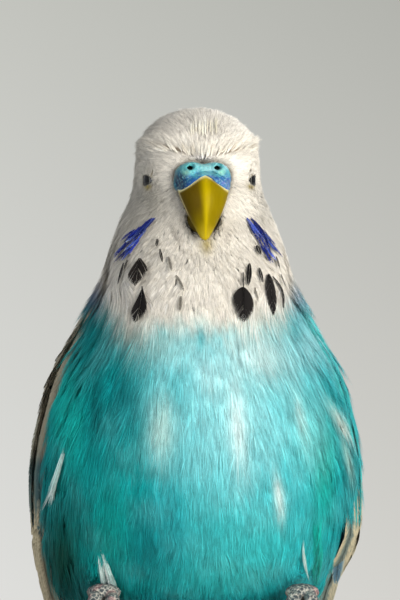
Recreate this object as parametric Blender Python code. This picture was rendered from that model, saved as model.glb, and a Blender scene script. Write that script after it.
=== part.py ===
"""A life-size budgerigar that grips a round wooden perch on a plain display stand.

Run with: blender --background --python part.py

World frame: metres, +Z up, the bird faces -Y, and the origin is the centre of the base's underside.
Bird frame: the same directions, from the point on the perch's top line midway between the feet. The
bird's nodes are made in it and hang from the empty "bird". Named sizes are in millimetres.
"""

import math

import bmesh
import bpy
import numpy as np
from mathutils import Matrix, Vector

MM = 0.001
GAP = 0.3  # left between pieces that touch

# The stand
BASE_LENGTH = 124.0
BASE_DEPTH = 104.0
BASE_HEIGHT = 8.0
BASE_CORNER = 16.0
BASE_EDGE = 1.2
TAIL_CLEARANCE = 6.0  # from the base's top to the tail's tip
PERCH_RADIUS = 6.0
PERCH_LENGTH = 104.0
PERCH_FORWARD = 5.0  # of the bird's origin
ROD_RADIUS = 2.4
ROD_SPREAD = 43.0
ROD_SOCKET = 5.0

# The bird's main sizes
CROWN_HEIGHT = 82.5
TAIL_TIP_DROP = 95.0  # the tail's tip below the perch's top
TAIL_TIP_BACK = 63.0
BIRD_BACK = -16.0  # the bird's origin from the base's middle
PERCH_TOP = BASE_HEIGHT + TAIL_CLEARANCE + TAIL_TIP_DROP
HEAD_TURN = math.radians(5.0)  # towards the bird's left
HEAD_PIVOT = Vector((0.0, -3.0, 0.0)) * MM
TURN_FROM, TURN_TO = 46.0, 59.5  # the neck's heights over which the head turns
CHIN_CUT = 61.4  # the heights on the head's pivot where head, neck and torso part
THROAT_CUT = 50.0

# The body's sections from brow to rump: height, half width, front and back
BODY_SECTIONS = [
    (74.0, 10.5, -16.9, 10.2),
    (68.7, 10.8, -16.9, 10.4),
    (64.3, 12.7, -17.0, 11.6),
    (60.3, 14.3, -18.0, 12.8),
    (53.7, 16.0, -21.8, 14.8),
    (45.3, 19.0, -26.0, 18.0),
    (33.7, 23.3, -28.4, 22.6),
    (20.3, 25.2, -24.8, 27.6),
    (10.0, 24.6, -16.5, 30.8),
    (0.0, 21.5, -1.8, 33.8),
    (-8.0, 15.8, 9.5, 36.3),
    (-16.0, 10.4, 20.5, 38.8),
    (-24.0, 6.6, 29.5, 41.4),
    (-34.0, 5.0, 36.5, 44.4),
]
RING_SIDES = 30
ROUNDNESS = 2.15  # the exponent of the superellipse that every section is
DOME_WIDE, DOME_DEEP = 74.0, 69.5  # heights over which the crown narrows across and along

# The face
EYE_CENTRE = (6.6, -9.7, 70.4)
EYE_RADIUS = 2.9
LID_RADIUS = 2.3
LID_THICK = 0.5
EYE_FACING = Vector((0.97, -0.24, 0.0))
ORBIT_OUT = 4.6  # the shallow dish round the eye: its centre from the eye's, and its radii
ORBIT_DEEP, ORBIT_WIDE = 2.9, 3.9
CERE_LOBE = (2.35, -16.5, 70.9)
CERE_LOBE_RADII = (2.5, 3.0, 2.55)
CERE_SADDLE = (0.0, -16.4, 71.6)
CERE_SADDLE_RADII = (2.2, 2.85, 1.4)
NOSTRIL = (2.25, -20.0, 72.35)
NOSTRIL_RADIUS = 0.45
NOSTRIL_DEPTH = 2.3
# Each half of the bill: its ridge and its rear edge as curves through (y, z), and its half widths
UPPER_RIDGE = ((-17.6, 71.8), (-26.4, 69.6), (-20.9, 59.9))
UPPER_REAR = ((-13.0, 68.4), (-16.6, 64.0), (-19.7, 60.4))
UPPER_HALF_WIDTHS = [3.9, 4.2, 4.15, 3.85, 3.4, 2.85, 2.15, 1.4, 0.55]
LOWER_RIDGE = ((-12.5, 67.4), (-19.2, 66.0), (-18.7, 61.6))
LOWER_REAR = ((-12.5, 62.8), (-15.5, 60.6), (-17.9, 61.2))
LOWER_HALF_WIDTHS = [3.2, 3.1, 2.7, 2.2, 1.5, 0.8]

# The bed of the folded wings: height, half width, middle and half depth of each section
WING_SECTIONS = [
    (56.0, 15.8, -3.6, 18.2),
    (45.3, 19.5, -4.0, 22.5),
    (33.7, 23.8, -2.9, 26.0),
    (20.3, 25.7, 1.4, 26.7),
    (10.0, 25.5, 7.2, 24.3),
    (0.0, 23.7, 14.4, 20.6),
    (-10.0, 18.7, 22.6, 16.4),
    (-20.0, 12.3, 31.6, 11.8),
    (-31.0, 6.6, 40.6, 7.2),
]
WING_TOP = 55.5
WING_TIP = -31.5
# Along a wing from shoulder to tip: the turns in degrees of its front edge and its edge at the spine
WING_EDGES = [
    (0.0, 0.0, 62.0),
    (0.08, -10.0, 80.0),
    (0.2, -9.0, 90.0),
    (0.5, -6.0, 90.0),
    (0.75, -6.0, 90.0),
    (1.0, 30.0, 88.0),
]
FEATHER_THICK = 0.56
SHINGLE = math.radians(-7.0)  # each vane's front edge lies over the vane before it

# The tail's stepped pairs of quills: share of the tail's length, place across, depth and half width
TAIL_ROOT = Vector((0.0, 39.0, -28.6))
TAIL_PAIRS = [
    (1.0, 1.5, 0.0, 2.6),
    (0.79, 2.4, 0.55, 2.9),
    (0.69, 3.2, 1.1, 2.9),
    (0.59, 4.0, 1.65, 2.9),
    (0.49, 4.7, 2.2, 2.8),
    (0.40, 5.3, 2.75, 2.7),
]
TAIL_CORE_LENGTH = 24.0

# The feet: each toe's places across the foot at palm and claw, and its angles round the perch
FOOT_SIDES = {"left": 17.5, "right": -15.5}
TOE_RADIUS = 1.15
TOES = [
    (-0.9, -3.0, 6.0, 86.0),
    (1.1, 2.6, 6.0, 106.0),
    (-1.0, -2.6, -6.0, -70.0),
    (0.9, 3.2, -6.0, -100.0),
]
PALM_RADII = (2.9, 2.7, 1.45)
CLAW_RADII = [0.72, 0.66, 0.56, 0.42, 0.22]
CLAW_SWEEP = 30.0
# Down each shank from the belly: height, place along the bird and radius
SHANK = [(3.75, -4.8, 1.5), (5.2, -3.9, 1.9), (7.2, -2.4, 2.6), (9.6, -0.4, 3.3), (12.0, 1.6, 3.6)]
SHANK_LEAN = 0.015  # inwards for each millimetre up and each that the foot stands to the side


def bird_point(x, y, z):
    return Vector((x, y, z)) * MM


def smooth_step(t):
    t = min(max(t, 0.0), 1.0)
    return t * t * (3.0 - 2.0 * t)


def head_turned(point, share=1.0):
    """A point of the bird frame, carried round by a share of the head's turn."""
    return Matrix.Rotation(HEAD_TURN * share, 3, "Z") @ (point - HEAD_PIVOT) + HEAD_PIVOT


def head_point(x, y, z):
    return head_turned(bird_point(x, y, z))


# Meshes and materials


def material(name, colour, roughness, metallic=0.0):
    made = bpy.data.materials.new(name)
    made.use_nodes = True
    shader = made.node_tree.nodes["Principled BSDF"]
    shader.inputs["Base Color"].default_value = (*colour, 1.0)
    shader.inputs["Roughness"].default_value = roughness
    shader.inputs["Metallic"].default_value = metallic
    return made


def add_node(name, mesh, collection, finish, parent=None, location=(0, 0, 0)):
    node = bpy.data.objects.new(name, mesh)
    collection.objects.link(node)
    node.parent = parent
    node.location = location
    mesh.materials.clear()
    mesh.materials.append(finish)
    mesh.shade_smooth()
    mesh.set_sharp_from_angle(angle=math.radians(50))
    return node


def mesh_from(shape, name):
    mesh = bpy.data.meshes.new(name)
    shape.to_mesh(mesh)
    shape.free()
    return mesh


def lofted(name, rings):
    """A closed mesh through rings of points. A ring of one point is a pole, and other ends are capped."""
    shape = bmesh.new()
    rows = [[shape.verts.new(point) for point in ring] for ring in rings]
    for row, after in zip(rows, rows[1:]):
        count = max(len(row), len(after))
        for i in range(count):
            j = (i + 1) % count
            if len(row) > 1 and len(after) > 1:
                # Split alike all round, so that the two sides of a curved vane can't cross
                shape.faces.new((row[i], after[i], after[j]))
                shape.faces.new((row[i], after[j], row[j]))
            elif len(row) == 1:
                shape.faces.new((row[0], after[i], after[j]))
            else:
                shape.faces.new((row[i], after[0], row[j]))
    for row in (rows[0], rows[-1]):
        if len(row) > 1:
            shape.faces.new(row)
    bmesh.ops.recalc_face_normals(shape, faces=shape.faces)
    return mesh_from(shape, name)


def ball(centre, radii, grow=0.0, sides=16, frame=None):
    """An ellipsoid in the bird frame, or in another."""
    shape = bmesh.new()
    bmesh.ops.create_uvsphere(shape, u_segments=sides, v_segments=sides // 2, radius=MM)
    bmesh.ops.scale(shape, verts=shape.verts, vec=[radius + grow for radius in radii])
    bmesh.ops.translate(shape, verts=shape.verts, vec=bird_point(*centre))
    if frame is not None:
        shape.transform(frame)
    return mesh_from(shape, "ball")


def tube(points, radii, resolution=1):
    """A tube along points, as a curve with filled caps made a mesh. Its radii are in millimetres."""
    curve = bpy.data.curves.new("tube", "CURVE")
    curve.dimensions = "3D"
    curve.bevel_depth = 1.0
    curve.bevel_resolution = resolution
    curve.use_fill_caps = True
    spline = curve.splines.new("POLY")
    spline.points.add(len(points) - 1)
    for target, point, radius in zip(spline.points, points, radii):
        target.co = (*point, 1.0)
        target.radius = radius * MM
    guide = bpy.data.objects.new("tube", curve)
    bpy.context.scene.collection.objects.link(guide)
    graph = bpy.context.evaluated_depsgraph_get()
    mesh = bpy.data.meshes.new_from_object(guide.evaluated_get(graph))
    bpy.data.objects.remove(guide)
    shape = bmesh.new()
    shape.from_mesh(mesh)
    bmesh.ops.remove_doubles(shape, verts=shape.verts, dist=0.01 * MM)
    bmesh.ops.recalc_face_normals(shape, faces=shape.faces)
    shape.to_mesh(mesh)
    shape.free()
    return mesh


def cylinder(start, end, radius, sides=16):
    """A cylinder between two points. Its radius is in millimetres."""
    axis = end - start
    shape = bmesh.new()
    bmesh.ops.create_cone(
        shape,
        cap_ends=True,
        segments=sides,
        radius1=radius * MM,
        radius2=radius * MM,
        depth=axis.length,
    )
    shape.transform(axis.to_track_quat("Z", "Y").to_matrix().to_4x4())
    bmesh.ops.translate(shape, verts=shape.verts, vec=(start + end) / 2)
    return mesh_from(shape, "cylinder")


def box(low, high):
    """A box between two corners, in metres."""
    shape = bmesh.new()
    bmesh.ops.create_cube(shape, size=1.0)
    bmesh.ops.scale(shape, verts=shape.verts, vec=high - low)
    bmesh.ops.translate(shape, verts=shape.verts, vec=(low + high) / 2)
    return mesh_from(shape, "box")


def combined(mesh, others, operation):
    """One Boolean of a closed mesh with a collection of others, applied, with the largest body kept."""
    scene = bpy.context.scene.collection
    body = bpy.data.objects.new("body", mesh)
    scene.objects.link(body)
    group = bpy.data.collections.new("operands")
    scene.children.link(group)
    for other in others:
        group.objects.link(bpy.data.objects.new("operand", other))
    modifier = body.modifiers.new("boolean", "BOOLEAN")
    modifier.operation = operation
    modifier.solver = "MANIFOLD"
    modifier.operand_type = "COLLECTION"
    modifier.collection = group
    graph = bpy.context.evaluated_depsgraph_get()
    made = bpy.data.meshes.new_from_object(body.evaluated_get(graph))
    for spent in [body, *group.objects]:
        bpy.data.objects.remove(spent)
    bpy.data.collections.remove(group)
    return largest_body(made)


def fused(mesh, others):
    return combined(mesh, others, "UNION")


def cut(mesh, cutters):
    return combined(mesh, cutters, "DIFFERENCE")


def largest_body(mesh):
    """Keeps the mesh's largest closed surface, as triangles with no slivers."""
    shape = bmesh.new()
    shape.from_mesh(mesh)
    bmesh.ops.triangulate(shape, faces=shape.faces)
    bmesh.ops.dissolve_degenerate(shape, edges=shape.edges, dist=0.004 * MM)
    bmesh.ops.triangulate(shape, faces=shape.faces)
    unseen = set(shape.faces)
    islands = []
    while unseen:
        stack = [unseen.pop()]
        island = list(stack)
        while stack:
            joined = [edge for edge in stack.pop().edges if len(edge.link_faces) == 2]
            for face in {face for edge in joined for face in edge.link_faces} & unseen:
                unseen.remove(face)
                stack.append(face)
                island.append(face)
        islands.append(island)
    islands.sort(key=enclosed_volume)
    dropped = [face for island in islands[:-1] for face in island]
    bmesh.ops.delete(shape, geom=dropped, context="FACES")
    shape.to_mesh(mesh)
    shape.free()
    return mesh


def enclosed_volume(triangles):
    total = 0.0
    for triangle in triangles:
        a, b, c = (vertex.co for vertex in triangle.verts)
        total += a.dot(b.cross(c))
    return abs(total)


def cut_at(mesh, point, normal):
    """The part of a closed mesh beyond a plane, half a gap from it, with the cut filled."""
    normal = Vector(normal).normalized()
    shape = bmesh.new()
    shape.from_mesh(mesh)
    bmesh.ops.bisect_plane(
        shape,
        geom=[*shape.verts, *shape.edges, *shape.faces],
        plane_co=bird_point(*point) + normal * GAP / 2 * MM,
        plane_no=normal,
        clear_inner=True,
    )
    rim = [edge for edge in shape.edges if edge.is_boundary]
    bmesh.ops.triangle_fill(shape, edges=rim, use_beauty=True)
    bmesh.ops.recalc_face_normals(shape, faces=shape.faces)
    return mesh_from(shape, "cut")


def eased(stations, column, at):
    """A column's value at a place, on a smooth curve through the stations that never overshoots them."""
    rows = sorted(stations)
    xs = [row[0] for row in rows]
    ys = [row[column] for row in rows]
    widths = np.diff(xs)
    slopes = np.diff(ys) / widths
    bends = [slopes[0]]
    for before, after, width, next_width in zip(slopes, slopes[1:], widths, widths[1:]):
        if before * after <= 0:
            bends.append(0.0)
            continue
        w1 = 2 * next_width + width
        w2 = next_width + 2 * width
        bends.append((w1 + w2) / (w1 / before + w2 / after))
    bends.append(slopes[-1])
    at = min(max(at, xs[0]), xs[-1])
    i = min(int(np.searchsorted(xs, at, side="right")) - 1, len(slopes) - 1)
    width = widths[i]
    t = (at - xs[i]) / width
    return (
        ys[i] * (1 + 2 * t) * (1 - t) ** 2
        + bends[i] * width * t * (1 - t) ** 2
        + ys[i + 1] * t * t * (3 - 2 * t)
        + bends[i + 1] * width * t * t * (t - 1)
    )


def section_point(half_width, middle, half_depth, turn):
    """(x, y) on a section. A turn of 0 is the bird's left side and a quarter turn is its back."""
    c, s = math.cos(turn), math.sin(turn)
    power = 2.0 / ROUNDNESS
    x = half_width * math.copysign(abs(c) ** power, c)
    y = middle + half_depth * math.copysign(abs(s) ** power, s)
    return x, y


# The body: head, neck and torso are one form parted by thin cuts


def dome_share(z, foot):
    """How much of its width at the foot a round dome keeps at a height."""
    rise = max(z - foot, 0.0) / (CROWN_HEIGHT - foot)
    return math.sqrt(max(1.0 - rise * rise, 0.0))


def body_point(turn, z):
    level = min(z, BODY_SECTIONS[0][0])
    half_width, front, back = (eased(BODY_SECTIONS, column, level) for column in (1, 2, 3))
    x, y = section_point(
        half_width * dome_share(z, DOME_WIDE),
        (front + back) / 2,
        (back - front) / 2 * dome_share(z, DOME_DEEP),
        turn,
    )
    return head_turned(bird_point(x, y, z), smooth_step((z - TURN_FROM) / (TURN_TO - TURN_FROM)))


def whole_body():
    """The form from the rump up to the crown, with its rings closer where it bends more."""
    heights = [-34, -29, -24, -19.5, -15, -10.5, -6, -1.5, 3, 8, 13.5, 19, 25, 31, 37, 43, 48, 52.5]
    heights += [56.5, 60, 63, 66, 69, 71.5, DOME_WIDE]
    dome = CROWN_HEIGHT - DOME_WIDE
    heights += [DOME_WIDE + dome * math.sin(math.radians(a)) for a in (18, 36, 52, 66, 78, 90)]
    turns = [2 * math.pi * i / RING_SIDES for i in range(RING_SIDES)]
    rings = [[body_point(turn, z) for turn in turns] for z in heights[:-1]]
    rings.append([body_point(0.0, heights[-1])])
    return lofted("body", rings)


def build_body(parts, bird, finishes):
    body = whole_body()
    build_head(body, parts, bird, finishes)
    below_head = cut_at(body, (0.0, HEAD_PIVOT.y / MM, CHIN_CUT), (0.0, 0.2, -1.0))
    neck = cut_at(below_head, (0.0, HEAD_PIVOT.y / MM, THROAT_CUT), (0.0, -0.3, 1.0))
    add_node("neck", neck, parts, finishes["white plumage"], bird)
    torso = cut_at(body, (0.0, HEAD_PIVOT.y / MM, THROAT_CUT), (0.0, 0.3, -1.0))
    torso = cut_at(torso, TAIL_ROOT, -TAIL_AXIS)
    torso = cut(torso, [shank_mesh(foot, GAP) for foot in FOOT_SIDES.values()])
    add_node("torso", torso, parts, finishes["blue plumage"], bird)


# The face

HEAD_FRAME = (
    Matrix.Translation(HEAD_PIVOT) @ Matrix.Rotation(HEAD_TURN, 4, "Z") @ Matrix.Translation(-HEAD_PIVOT)
)


def curve_point(ends_and_middle, t):
    """A point of the curve that leaves the first point and reaches the last, drawn by the middle one."""
    a, b, c = (Vector(point) for point in ends_and_middle)
    return a * (1 - t) ** 2 + b * 2 * t * (1 - t) + c * t * t


def bill_mesh(ridge_curve, rear_curve, half_widths, grow=0.0):
    """Half of a bill: oval sections between its ridge and its rear edge, closed at both ends."""
    sections = []
    for k in range(len(half_widths)):
        t = k / (len(half_widths) - 1)
        ridge, rear = curve_point(ridge_curve, t), curve_point(rear_curve, t)
        half = (ridge - rear) / 2
        sections.append(((ridge + rear) / 2, half * (1 + grow / half.length)))
    for end, inner in ((0, 1), (-1, -2)):
        outward = (sections[end][0] - sections[inner][0]).normalized()
        sections[end] = (sections[end][0] + outward * grow, sections[end][1])
    rings = []
    for (middle, half), half_width in zip(sections, half_widths):
        ring = []
        for i in range(16):
            turn = 2 * math.pi * i / 16
            side = math.copysign(abs(math.sin(turn)) ** 1.15, math.sin(turn))
            point = middle + half * math.cos(turn)
            ring.append(head_point((half_width + grow) * side, point.x, point.y))
        rings.append(ring)
    return lofted("bill", rings)


def upper_bill(grow=0.0):
    return bill_mesh(UPPER_RIDGE, UPPER_REAR, UPPER_HALF_WIDTHS, grow)


def lower_bill(grow=0.0):
    return bill_mesh(LOWER_RIDGE, LOWER_REAR, LOWER_HALF_WIDTHS, grow)


def mirrored(point, side):
    return side * point[0], point[1], point[2]


def cere_pieces(grow=0.0):
    """The two swollen lobes over the bill and the saddle between them."""
    lobes = [
        ball(mirrored(CERE_LOBE, side), CERE_LOBE_RADII, grow, frame=HEAD_FRAME) for side in (1, -1)
    ]
    return [*lobes, ball(CERE_SADDLE, CERE_SADDLE_RADII, grow, 12, HEAD_FRAME)]


def nostril_hole(side):
    x, y, z = mirrored(NOSTRIL, side)
    back = head_point(x, y + NOSTRIL_DEPTH, z)
    front = head_point(x, y - NOSTRIL_DEPTH, z)
    return cylinder(front, back, NOSTRIL_RADIUS, 8)


def eye_frame(side, out):
    """A frame in the bird's, at a distance out from the eye's centre, with +Z the way the eye faces."""
    facing = Vector(mirrored(EYE_FACING, side)).normalized()
    centre = bird_point(*mirrored(EYE_CENTRE, side)) + facing * out * MM
    return HEAD_FRAME @ Matrix.Translation(centre) @ facing.to_track_quat("Z", "Y").to_matrix().to_4x4()


def lid_ring(side):
    """The bare rim round the eye, standing a little proud of the face."""
    bpy.ops.mesh.primitive_torus_add(
        major_segments=16,
        minor_segments=6,
        major_radius=(LID_RADIUS + LID_THICK) * MM,
        minor_radius=LID_THICK * MM,
    )
    ring = bpy.context.active_object
    mesh = ring.data
    bpy.data.objects.remove(ring)
    mesh.transform(eye_frame(side, math.sqrt(EYE_RADIUS**2 - LID_RADIUS**2)))
    return mesh


def orbit(side):
    """The dish round the eye, which the lids stand in."""
    return ball((0, 0, 0), (ORBIT_WIDE, ORBIT_WIDE, ORBIT_DEEP), frame=eye_frame(side, ORBIT_OUT))


def build_head(body, parts, bird, finishes):
    """Head with lids and eye sockets, the eyes, the cere with its nostrils, and both halves of the bill."""
    head = cut_at(body, (0.0, HEAD_PIVOT.y / MM, CHIN_CUT), (0.0, -0.2, 1.0))
    head = fused(cut(head, [orbit(1), orbit(-1)]), [lid_ring(1), lid_ring(-1)])
    sockets = [
        ball(mirrored(EYE_CENTRE, side), [EYE_RADIUS] * 3, GAP, frame=HEAD_FRAME) for side in (1, -1)
    ]
    head = cut(head, [*sockets, *cere_pieces(GAP), upper_bill(GAP), lower_bill(GAP)])
    add_node("head", head, parts, finishes["white plumage"], bird)
    for word, side in (("left", 1), ("right", -1)):
        eye = ball((0.0, 0.0, 0.0), [EYE_RADIUS] * 3)
        centre = head_point(*mirrored(EYE_CENTRE, side))
        add_node(f"eye_{word}", eye, parts, finishes["eye"], bird, centre)
    lobe, *rest = cere_pieces()
    cere = cut(fused(lobe, rest), [upper_bill(GAP), nostril_hole(1), nostril_hole(-1)])
    add_node("cere", cere, parts, finishes["cere"], bird)
    add_node("bill_upper", upper_bill(), parts, finishes["bill"], bird)
    add_node("bill_lower", cut(lower_bill(), [upper_bill(GAP)]), parts, finishes["bill"], bird)


# Feather vanes


def vane(points, normals, half_width, tilt=0.0, blunt=0.8):
    """A closed vane along points, which thins and narrows to a rounded tip."""
    rings = []
    last = len(points) - 1
    for i, (point, normal) in enumerate(zip(points, normals)):
        along = (points[min(i + 1, last)] - points[max(i - 1, 0)]).normalized()
        lean = Matrix.Rotation(tilt, 3, along)
        side = lean @ normal.cross(along).normalized()
        up = along.cross(side)
        t = i / last
        root = 0.62 + 0.38 * min(t / 0.35, 1.0)
        tip = (1.0 - max((t - blunt) / (1.04 - blunt), 0.0) ** 2.2) ** 0.5
        half = side * half_width * root * tip * MM
        thick = up * FEATHER_THICK * (1.0 - 0.45 * t * t) * MM
        low, high = point - thick * 0.5, point + thick * 0.5
        rings.append([low - half, low + half, high + half, high - half])
    return lofted("vane", rings)


def tip_spaced(steps):
    """Places from 0 to 1, closer together towards a feather's rounded tip."""
    return [1.0 - (1.0 - i / steps) ** 1.8 for i in range(steps + 1)]


# The wings


def wing_surface(t, s):
    """A point of the left wing's bed in millimetres: t from shoulder to tip, s from front to spine."""
    z = WING_TOP + (WING_TIP - WING_TOP) * t
    front, rear = (eased(WING_EDGES, column, t) for column in (1, 2))
    turn = math.radians(front + (rear - front) * s)
    x, y = section_point(*(eased(WING_SECTIONS, column, z) for column in (1, 2, 3)), turn)
    return Vector((x, y, z))


def wing_normal(t, s):
    step = 0.004
    across = wing_surface(t, s + step) - wing_surface(t, s - step)
    down = wing_surface(t + step, s) - wing_surface(t - step, s)
    return down.cross(across).normalized()


def wing_point(t, s, height):
    return (wing_surface(t, s) + wing_normal(t, s) * height) * MM


def wing_feather(root, tip, half_width, heights, steps, blunt):
    """A vane of the left wing, from root (t, s) to tip (t, s)."""
    points, normals = [], []
    for a in tip_spaced(steps):
        t = root[0] + (tip[0] - root[0]) * a
        s = root[1] + (tip[1] - root[1]) * a**1.25
        points.append(wing_point(t, s, heights[0] + (heights[1] - heights[0]) * a))
        normals.append(wing_normal(t, s))
    return vane(points, normals, half_width, SHINGLE, blunt)


def wing_tiers():
    """The left wing's feathers, lowest tier first: root, tip, half width, heights, steps and bluntness."""
    feathers = []
    for i in range(8):  # primaries: the second is the longest
        tip = (1.0 - 0.034 * abs(i - 1.2) ** 1.15, 0.22 + 0.086 * i)
        feathers.append(((0.31 + 0.012 * i, 0.10 + 0.055 * i), tip, 3.2, (0.75, 1.0), 5, 0.6))
    for i in range(7):  # secondaries and, nearest the spine, tertials
        tip = (0.71 - 0.008 * (i - 3.4) ** 2, 0.18 + 0.119 * i)
        feathers.append(((0.29, 0.11 + 0.127 * i), tip, 4.4, (1.3, 1.45), 4, 0.66))
    for i in range(7):  # greater coverts
        tip = (0.46 - 0.003 * (i - 3.0) ** 2, 0.09 + 0.135 * i)
        feathers.append(((0.18, 0.08 + 0.133 * i), tip, 4.2, (1.5, 1.95), 3, 0.55))
    for i in range(6):  # median coverts
        tip = (0.30 - 0.0018 * (i - 3.0) ** 2, 0.07 + 0.122 * i)
        feathers.append(((0.06, 0.11 + 0.115 * i), tip, 3.4, (0.8, 2.4), 3, 0.55))
    for i in range(3):  # scapulars, from the shoulder down beside the mantle
        tip = (0.36 + 0.012 * i, 0.76 + 0.085 * i)
        feathers.append(((0.05, 0.70 + 0.10 * i), tip, 3.6, (0.9, 2.7), 3, 0.55))
    return feathers


def wing_core():
    """The arm and hand under the coverts, in which every vane is rooted."""
    rings = []
    rows, columns = 7, 8
    for i in range(rows):
        a = i / (rows - 1)
        t = 0.012 + 0.42 * a
        thick = 1.9 * math.sin(math.pi * (0.12 + 0.80 * a)) ** 0.6
        inset = 0.5 * (1.0 - math.sin(math.pi * min(0.5, 0.16 + 0.9 * a)))
        low, high = 0.03 + 0.5 * inset, 0.96 - 0.6 * inset - 0.22 * a
        places = [low + (high - low) * j / (columns - 1) for j in range(columns)]
        bulges = [0.25 + 0.75 * math.sin(math.pi * j / (columns - 1)) ** 0.5 for j in range(columns)]
        top = [wing_point(t, s, 0.15 + thick * bulge) for s, bulge in zip(places, bulges)]
        bottom = [wing_point(t, s, 0.0) for s in places]
        rings.append(top + bottom[::-1])
    return lofted("core", rings)


def build_wings(parts, bird, finish):
    """Each wing is its arm with the tiers of vanes, cut clear of the other, which mirrors it."""
    left = fused(wing_core(), [wing_feather(*feather) for feather in wing_tiers()])
    reach = 120.0
    other_side = box(bird_point(-reach, -reach, -reach), bird_point(GAP / 2, reach, reach))
    left = cut(left, [other_side])
    right = left.copy()
    right.transform(Matrix.Scale(-1.0, 4, (1.0, 0.0, 0.0)))
    right.flip_normals()
    add_node("wing_left", left, parts, finish, bird)
    add_node("wing_right", right, parts, finish, bird)


# The tail

TAIL_TIP = Vector((0.0, TAIL_TIP_BACK, -TAIL_TIP_DROP))
TAIL_LENGTH = (TAIL_TIP - TAIL_ROOT).length
TAIL_AXIS = (TAIL_TIP - TAIL_ROOT).normalized()
TAIL_UP = TAIL_AXIS.cross(Vector((1.0, 0.0, 0.0)))


def tail_point(along, across, up):
    """A point of the tail's own frame, in the bird frame."""
    point = TAIL_ROOT + TAIL_AXIS * along + TAIL_UP * up
    return bird_point(point.x + across, point.y, point.z)


def tail_feather(start, end, half_width, tilt, steps, blunt):
    """A straight vane between two points (along, across, up) of the tail's frame."""
    start, end = Vector(start), Vector(end)
    points = [tail_point(*start.lerp(end, a)) for a in tip_spaced(steps)]
    return vane(points, [TAIL_UP] * len(points), half_width, tilt, blunt)


def tail_core():
    """The stump that the quills grow from, flat towards its end."""
    rings = []
    rows, sides = 5, 14
    for i in range(rows):
        a = i / (rows - 1)
        half_width = 4.7 + 0.6 * a
        half_thick = 3.6 * (1 - a) + 1.1 * a
        turns = [2 * math.pi * j / sides for j in range(sides)]
        along = GAP / 2 + TAIL_CORE_LENGTH * a
        rings.append(
            [tail_point(along, half_width * math.cos(r), half_thick * math.sin(r)) for r in turns]
        )
    return lofted("core", rings)


def build_tail(parts, bird, finish):
    """Six stepped pairs of quills, the coverts over them and the coverts under them."""
    feathers = []
    for length, across, depth, half_width in TAIL_PAIRS:
        drift = 0.42 if length == 1.0 else 0.85
        for side in (1, -1):
            up = 1.0 - depth + (0.18 if side > 0 else 0.0)
            start = (9.0, side * across * 0.9, up)
            end = (TAIL_LENGTH * length, side * across * drift, up - 0.3)
            feathers.append(tail_feather(start, end, half_width, side * math.radians(5.0), 4, 0.6))
    for i in range(7):
        across = (i - 3) * 1.55
        start = (1.6, across * 0.85, 3.0 - 0.05 * across * across)
        end = (31.0 - 1.6 * abs(i - 3), across, 1.75 - 0.05 * abs(across))
        feathers.append(tail_feather(start, end, 2.3, 0.05 * (i - 3), 3, 0.55))
    for i in range(6):
        across = (i - 2.5) * 1.8
        start = (1.6, across * 0.85, -2.9 + 0.12 * abs(across))
        end = (34.0 - 2.0 * abs(i - 2.5), across, -2.5)
        feathers.append(tail_feather(start, end, 2.4, -0.05 * (i - 2.5), 3, 0.55))
    add_node("tail", fused(tail_core(), feathers), parts, finish, bird)


# Shanks, feet and claws


def grip_point(foot, across, angle, radius):
    """A point round the perch's axis: an angle of 0 is its top, and positive angles go to the front."""
    turn = math.radians(angle)
    y = -PERCH_FORWARD - radius * math.sin(turn)
    z = -PERCH_RADIUS + radius * math.cos(turn)
    return bird_point(foot + across, y, z)


def toe_path(foot, toe, start, end, radii):
    """Points along a stretch of a toe, each a gap and the toe's radius there off the wood."""
    near, far, first, last = toe
    points = []
    for i, radius in enumerate(radii):
        angle = start + (end - start) * i / (len(radii) - 1)
        share = min((angle - first) / (last - first), 1.2)
        across = near + (far - near) * share
        points.append(grip_point(foot, across, angle, PERCH_RADIUS + GAP + radius))
    return points


def toe_mesh(foot, toe):
    """A toe with the swellings of its pads."""
    steps = 8
    radii = [
        TOE_RADIUS * (1.06 - 0.22 * i / steps + 0.07 * math.cos(math.pi * i)) for i in range(steps + 1)
    ]
    return tube(toe_path(foot, toe, toe[2], toe[3], radii), radii)


def claw_mesh(foot, toe):
    """A claw that hooks on round the perch from its toe's end."""
    last = toe[3]
    way = math.copysign(1.0, last)
    start = last + way * math.degrees(GAP / (PERCH_RADIUS + TOE_RADIUS))
    return tube(toe_path(foot, toe, start, start + way * CLAW_SWEEP, CLAW_RADII), CLAW_RADII)


def shank_mesh(foot, grow=0.0):
    """The short feathered shank between the belly and the foot. A grown one also reaches lower."""
    points, radii = [], []
    for z, y, radius in SHANK:
        points.append(bird_point(foot * (1 - SHANK_LEAN * (z - SHANK[0][0])), y, z))
        radii.append(radius + grow)
    points[0].z -= 13.0 * grow * MM
    return tube(points, radii)


def foot_mesh(foot):
    palm = (foot, -PERCH_FORWARD, GAP + PALM_RADII[2])
    return fused(ball(palm, PALM_RADII, sides=12), [toe_mesh(foot, toe) for toe in TOES])


def build_legs(parts, bird, finishes):
    for word, foot in FOOT_SIDES.items():
        add_node(f"leg_{word}", shank_mesh(foot), parts, finishes["shank plumage"], bird)
        add_node(f"foot_{word}", foot_mesh(foot), parts, finishes["toe skin"], bird)
        for number, toe in enumerate(TOES, 1):
            add_node(f"claw_{word}_{number}", claw_mesh(foot, toe), parts, finishes["claw horn"], bird)


# The stand


def rod_between(side, grow=0.0):
    """A rod from its socket in the base to its socket in the perch, or the hole for it."""
    x, y = side * ROD_SPREAD, BIRD_BACK - PERCH_FORWARD
    low = BASE_HEIGHT - ROD_SOCKET - grow
    high = PERCH_TOP - 2 * PERCH_RADIUS + ROD_SOCKET + grow
    return cylinder(bird_point(x, y, low), bird_point(x, y, high), ROD_RADIUS + grow)


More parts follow.
